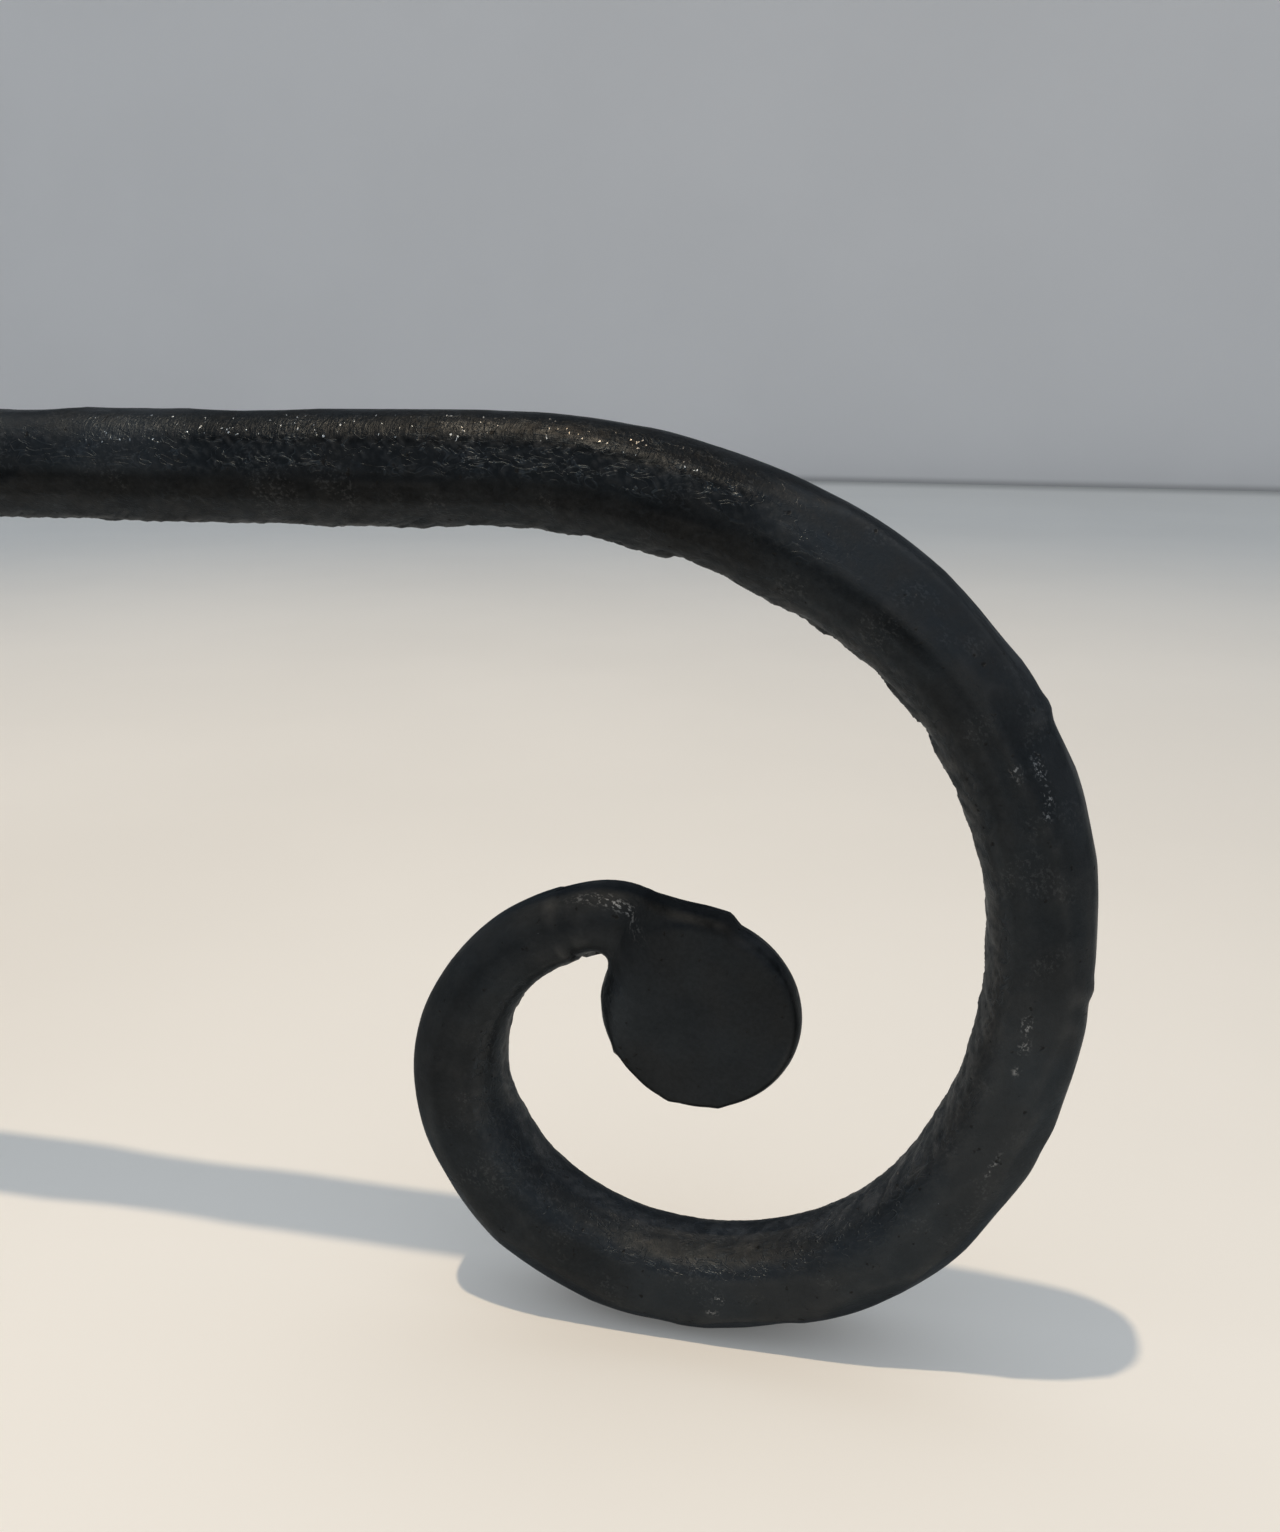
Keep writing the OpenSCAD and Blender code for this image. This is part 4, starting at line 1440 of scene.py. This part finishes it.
def make_stage():
    h = FLOOR_HALF
    (x0, y0), (x1, y1) = WALL_FOOT
    slope = (y1 - y0) / (x1 - x0)

    def on_wall(x, z):
        return (x, y0 + slope * (x - x0), z)

    def before_wall(tree, place):
        part = add(tree, "SeparateXYZ", {"Vector": place}).outputs
        wall_y = plus(tree, times(tree, part["X"], slope), y0 - slope * x0)
        return spread(tree, maths(tree, "SUBTRACT", wall_y, part["Y"]), 0, FLOOR_SHADED)

    def above_floor(tree, place):
        return spread(tree, add(tree, "SeparateXYZ", {"Vector": place}).outputs["Z"], 0,
                      WALL_SHADED)

    # Painted pool of light: a glow on the floor, strongest near its middle
    def pool(tree, place):
        off = add(tree, "VectorMath", {0: place, 1: POOL}, operation="DISTANCE").outputs["Value"]
        return spread(tree, off, *POOL_REACH, FLOOR_LIFT[1], FLOOR_LIFT[0])

    def even(tree, place):
        return WALL_LIFT

    sheet_of("floor", [(-h, -h, 0), (h, -h, 0), (h, h, 0), (-h, h, 0)],
             painted("floor_paint", (0.82, 0.80, 0.765, 1), 0.03, 0.7, before_wall, pool))
    sheet_of("wall", [on_wall(-WALL_HALF, 0), on_wall(WALL_HALF, 0),
                      on_wall(WALL_HALF, WALL_HIGH), on_wall(-WALL_HALF, WALL_HIGH)],
             painted("wall_paint", (0.80, 0.78, 0.775, 1), 0.02, 0.8, above_floor, even))


LAMP = Vector((-0.15, -0.21, 2.2))
LAMP_AIM = Vector((0.06, -0.1, 0))
LAMP_WATTS = 93
LAMP_COLOUR = (1.0, 0.80, 0.56)
LAMP_R = 0.025
LAMP_CONE = math.radians(64)
# The soft light from above leans to the back of the room, and fades towards the camera, which
# itself sees an even room
SKY_LEAN = math.radians(12)
SKY_SPAN = (0.2, 0.95)
SKY_STRENGTH = (0.40, 0.68)
SKY_SEEN = 0.4
SKY_COLOUR = (0.91, 1.0, 1.09, 1)


def make_light():
    data = bpy.data.lights.new("lamp", "SPOT")
    data.energy = LAMP_WATTS
    data.color = LAMP_COLOUR
    data.shadow_soft_size = LAMP_R
    data.spot_size = LAMP_CONE
    data.spot_blend = 1.0
    aimed("lamp", data, LAMP, LAMP_AIM - LAMP)
    world = bpy.data.worlds.new("room")
    bpy.context.scene.world = world
    tree = emptied(world)
    way = add(tree, "TexCoord").outputs["Generated"]
    toward_light = (0, math.sin(SKY_LEAN), math.cos(SKY_LEAN))
    height = add(tree, "VectorMath", {0: way, 1: toward_light}, operation="DOT_PRODUCT")
    sky = spread(tree, height.outputs["Value"], *SKY_SPAN, *SKY_STRENGTH)
    path = add(tree, "LightPath").outputs["Is Camera Ray"]
    strength = add(tree, "Mix", {0: path, 2: sky, 3: SKY_SEEN}, data_type="FLOAT").outputs[0]
    light = add(tree, "Background", {"Color": SKY_COLOUR, "Strength": strength})
    add(tree, "OutputWorld", {"Surface": light.outputs[0]})


make_camera()
make_stage()
make_light()

billet_bar = make_billet_bar(waxed_scale("billet_scale"))
upright = forged("forged_upright", "upright", upright_line(), UPRIGHT_SIDES,
                 upright_blows(), 23, 0.8, waxed_scale("upright_scale"))
front_foot = make_front_foot(waxed_scale("foot_scale"))
collar_iron = worn_scale("collar_scale")
tenon_holes = {"base_collar": FOOT_TENON_D, "foot_washer": FOOT_TENON_D,
               "finial_collar": FINIAL_TENON_D, "stop_washer": STOP_TENON_D}
for number, (node, tenon) in enumerate(tenon_holes.items()):
    collar(node, tenon, 101 + 10 * number, collar_iron)
for number, node in enumerate(("billet_collar", "billet_washer")):
    collar(node, TENON, 151 + 10 * number, collar_iron, on_billet=True)
make_finial_ball(waxed_scale("finial_scale"))
make_log_stop(waxed_scale("log_stop_scale"))
make_finial_pin(worn_scale("pin_scale"))

STOP_X = middle("log_stop").x
cut_hole(billet_bar, (STOP_X, 0, BILLET_Z - BAR), (STOP_X, 0, BILLET_Z + BAR),
         hole_of(STOP_TENON_D))
cut_hole(upright, (AXIS - UPRIGHT_BASE_T, 0, BILLET_Z), (AXIS + UPRIGHT_BASE_T, 0, BILLET_Z),
         hole_of(TENON), square=True)
cut_hole(front_foot, (AXIS, 0, CROWN_Z - FOOT_BAR), (AXIS, 0, CROWN_Z + FOOT_BAR),
         hole_of(FOOT_TENON_D))

bpy.context.scene.view_settings.view_transform = "Standard"
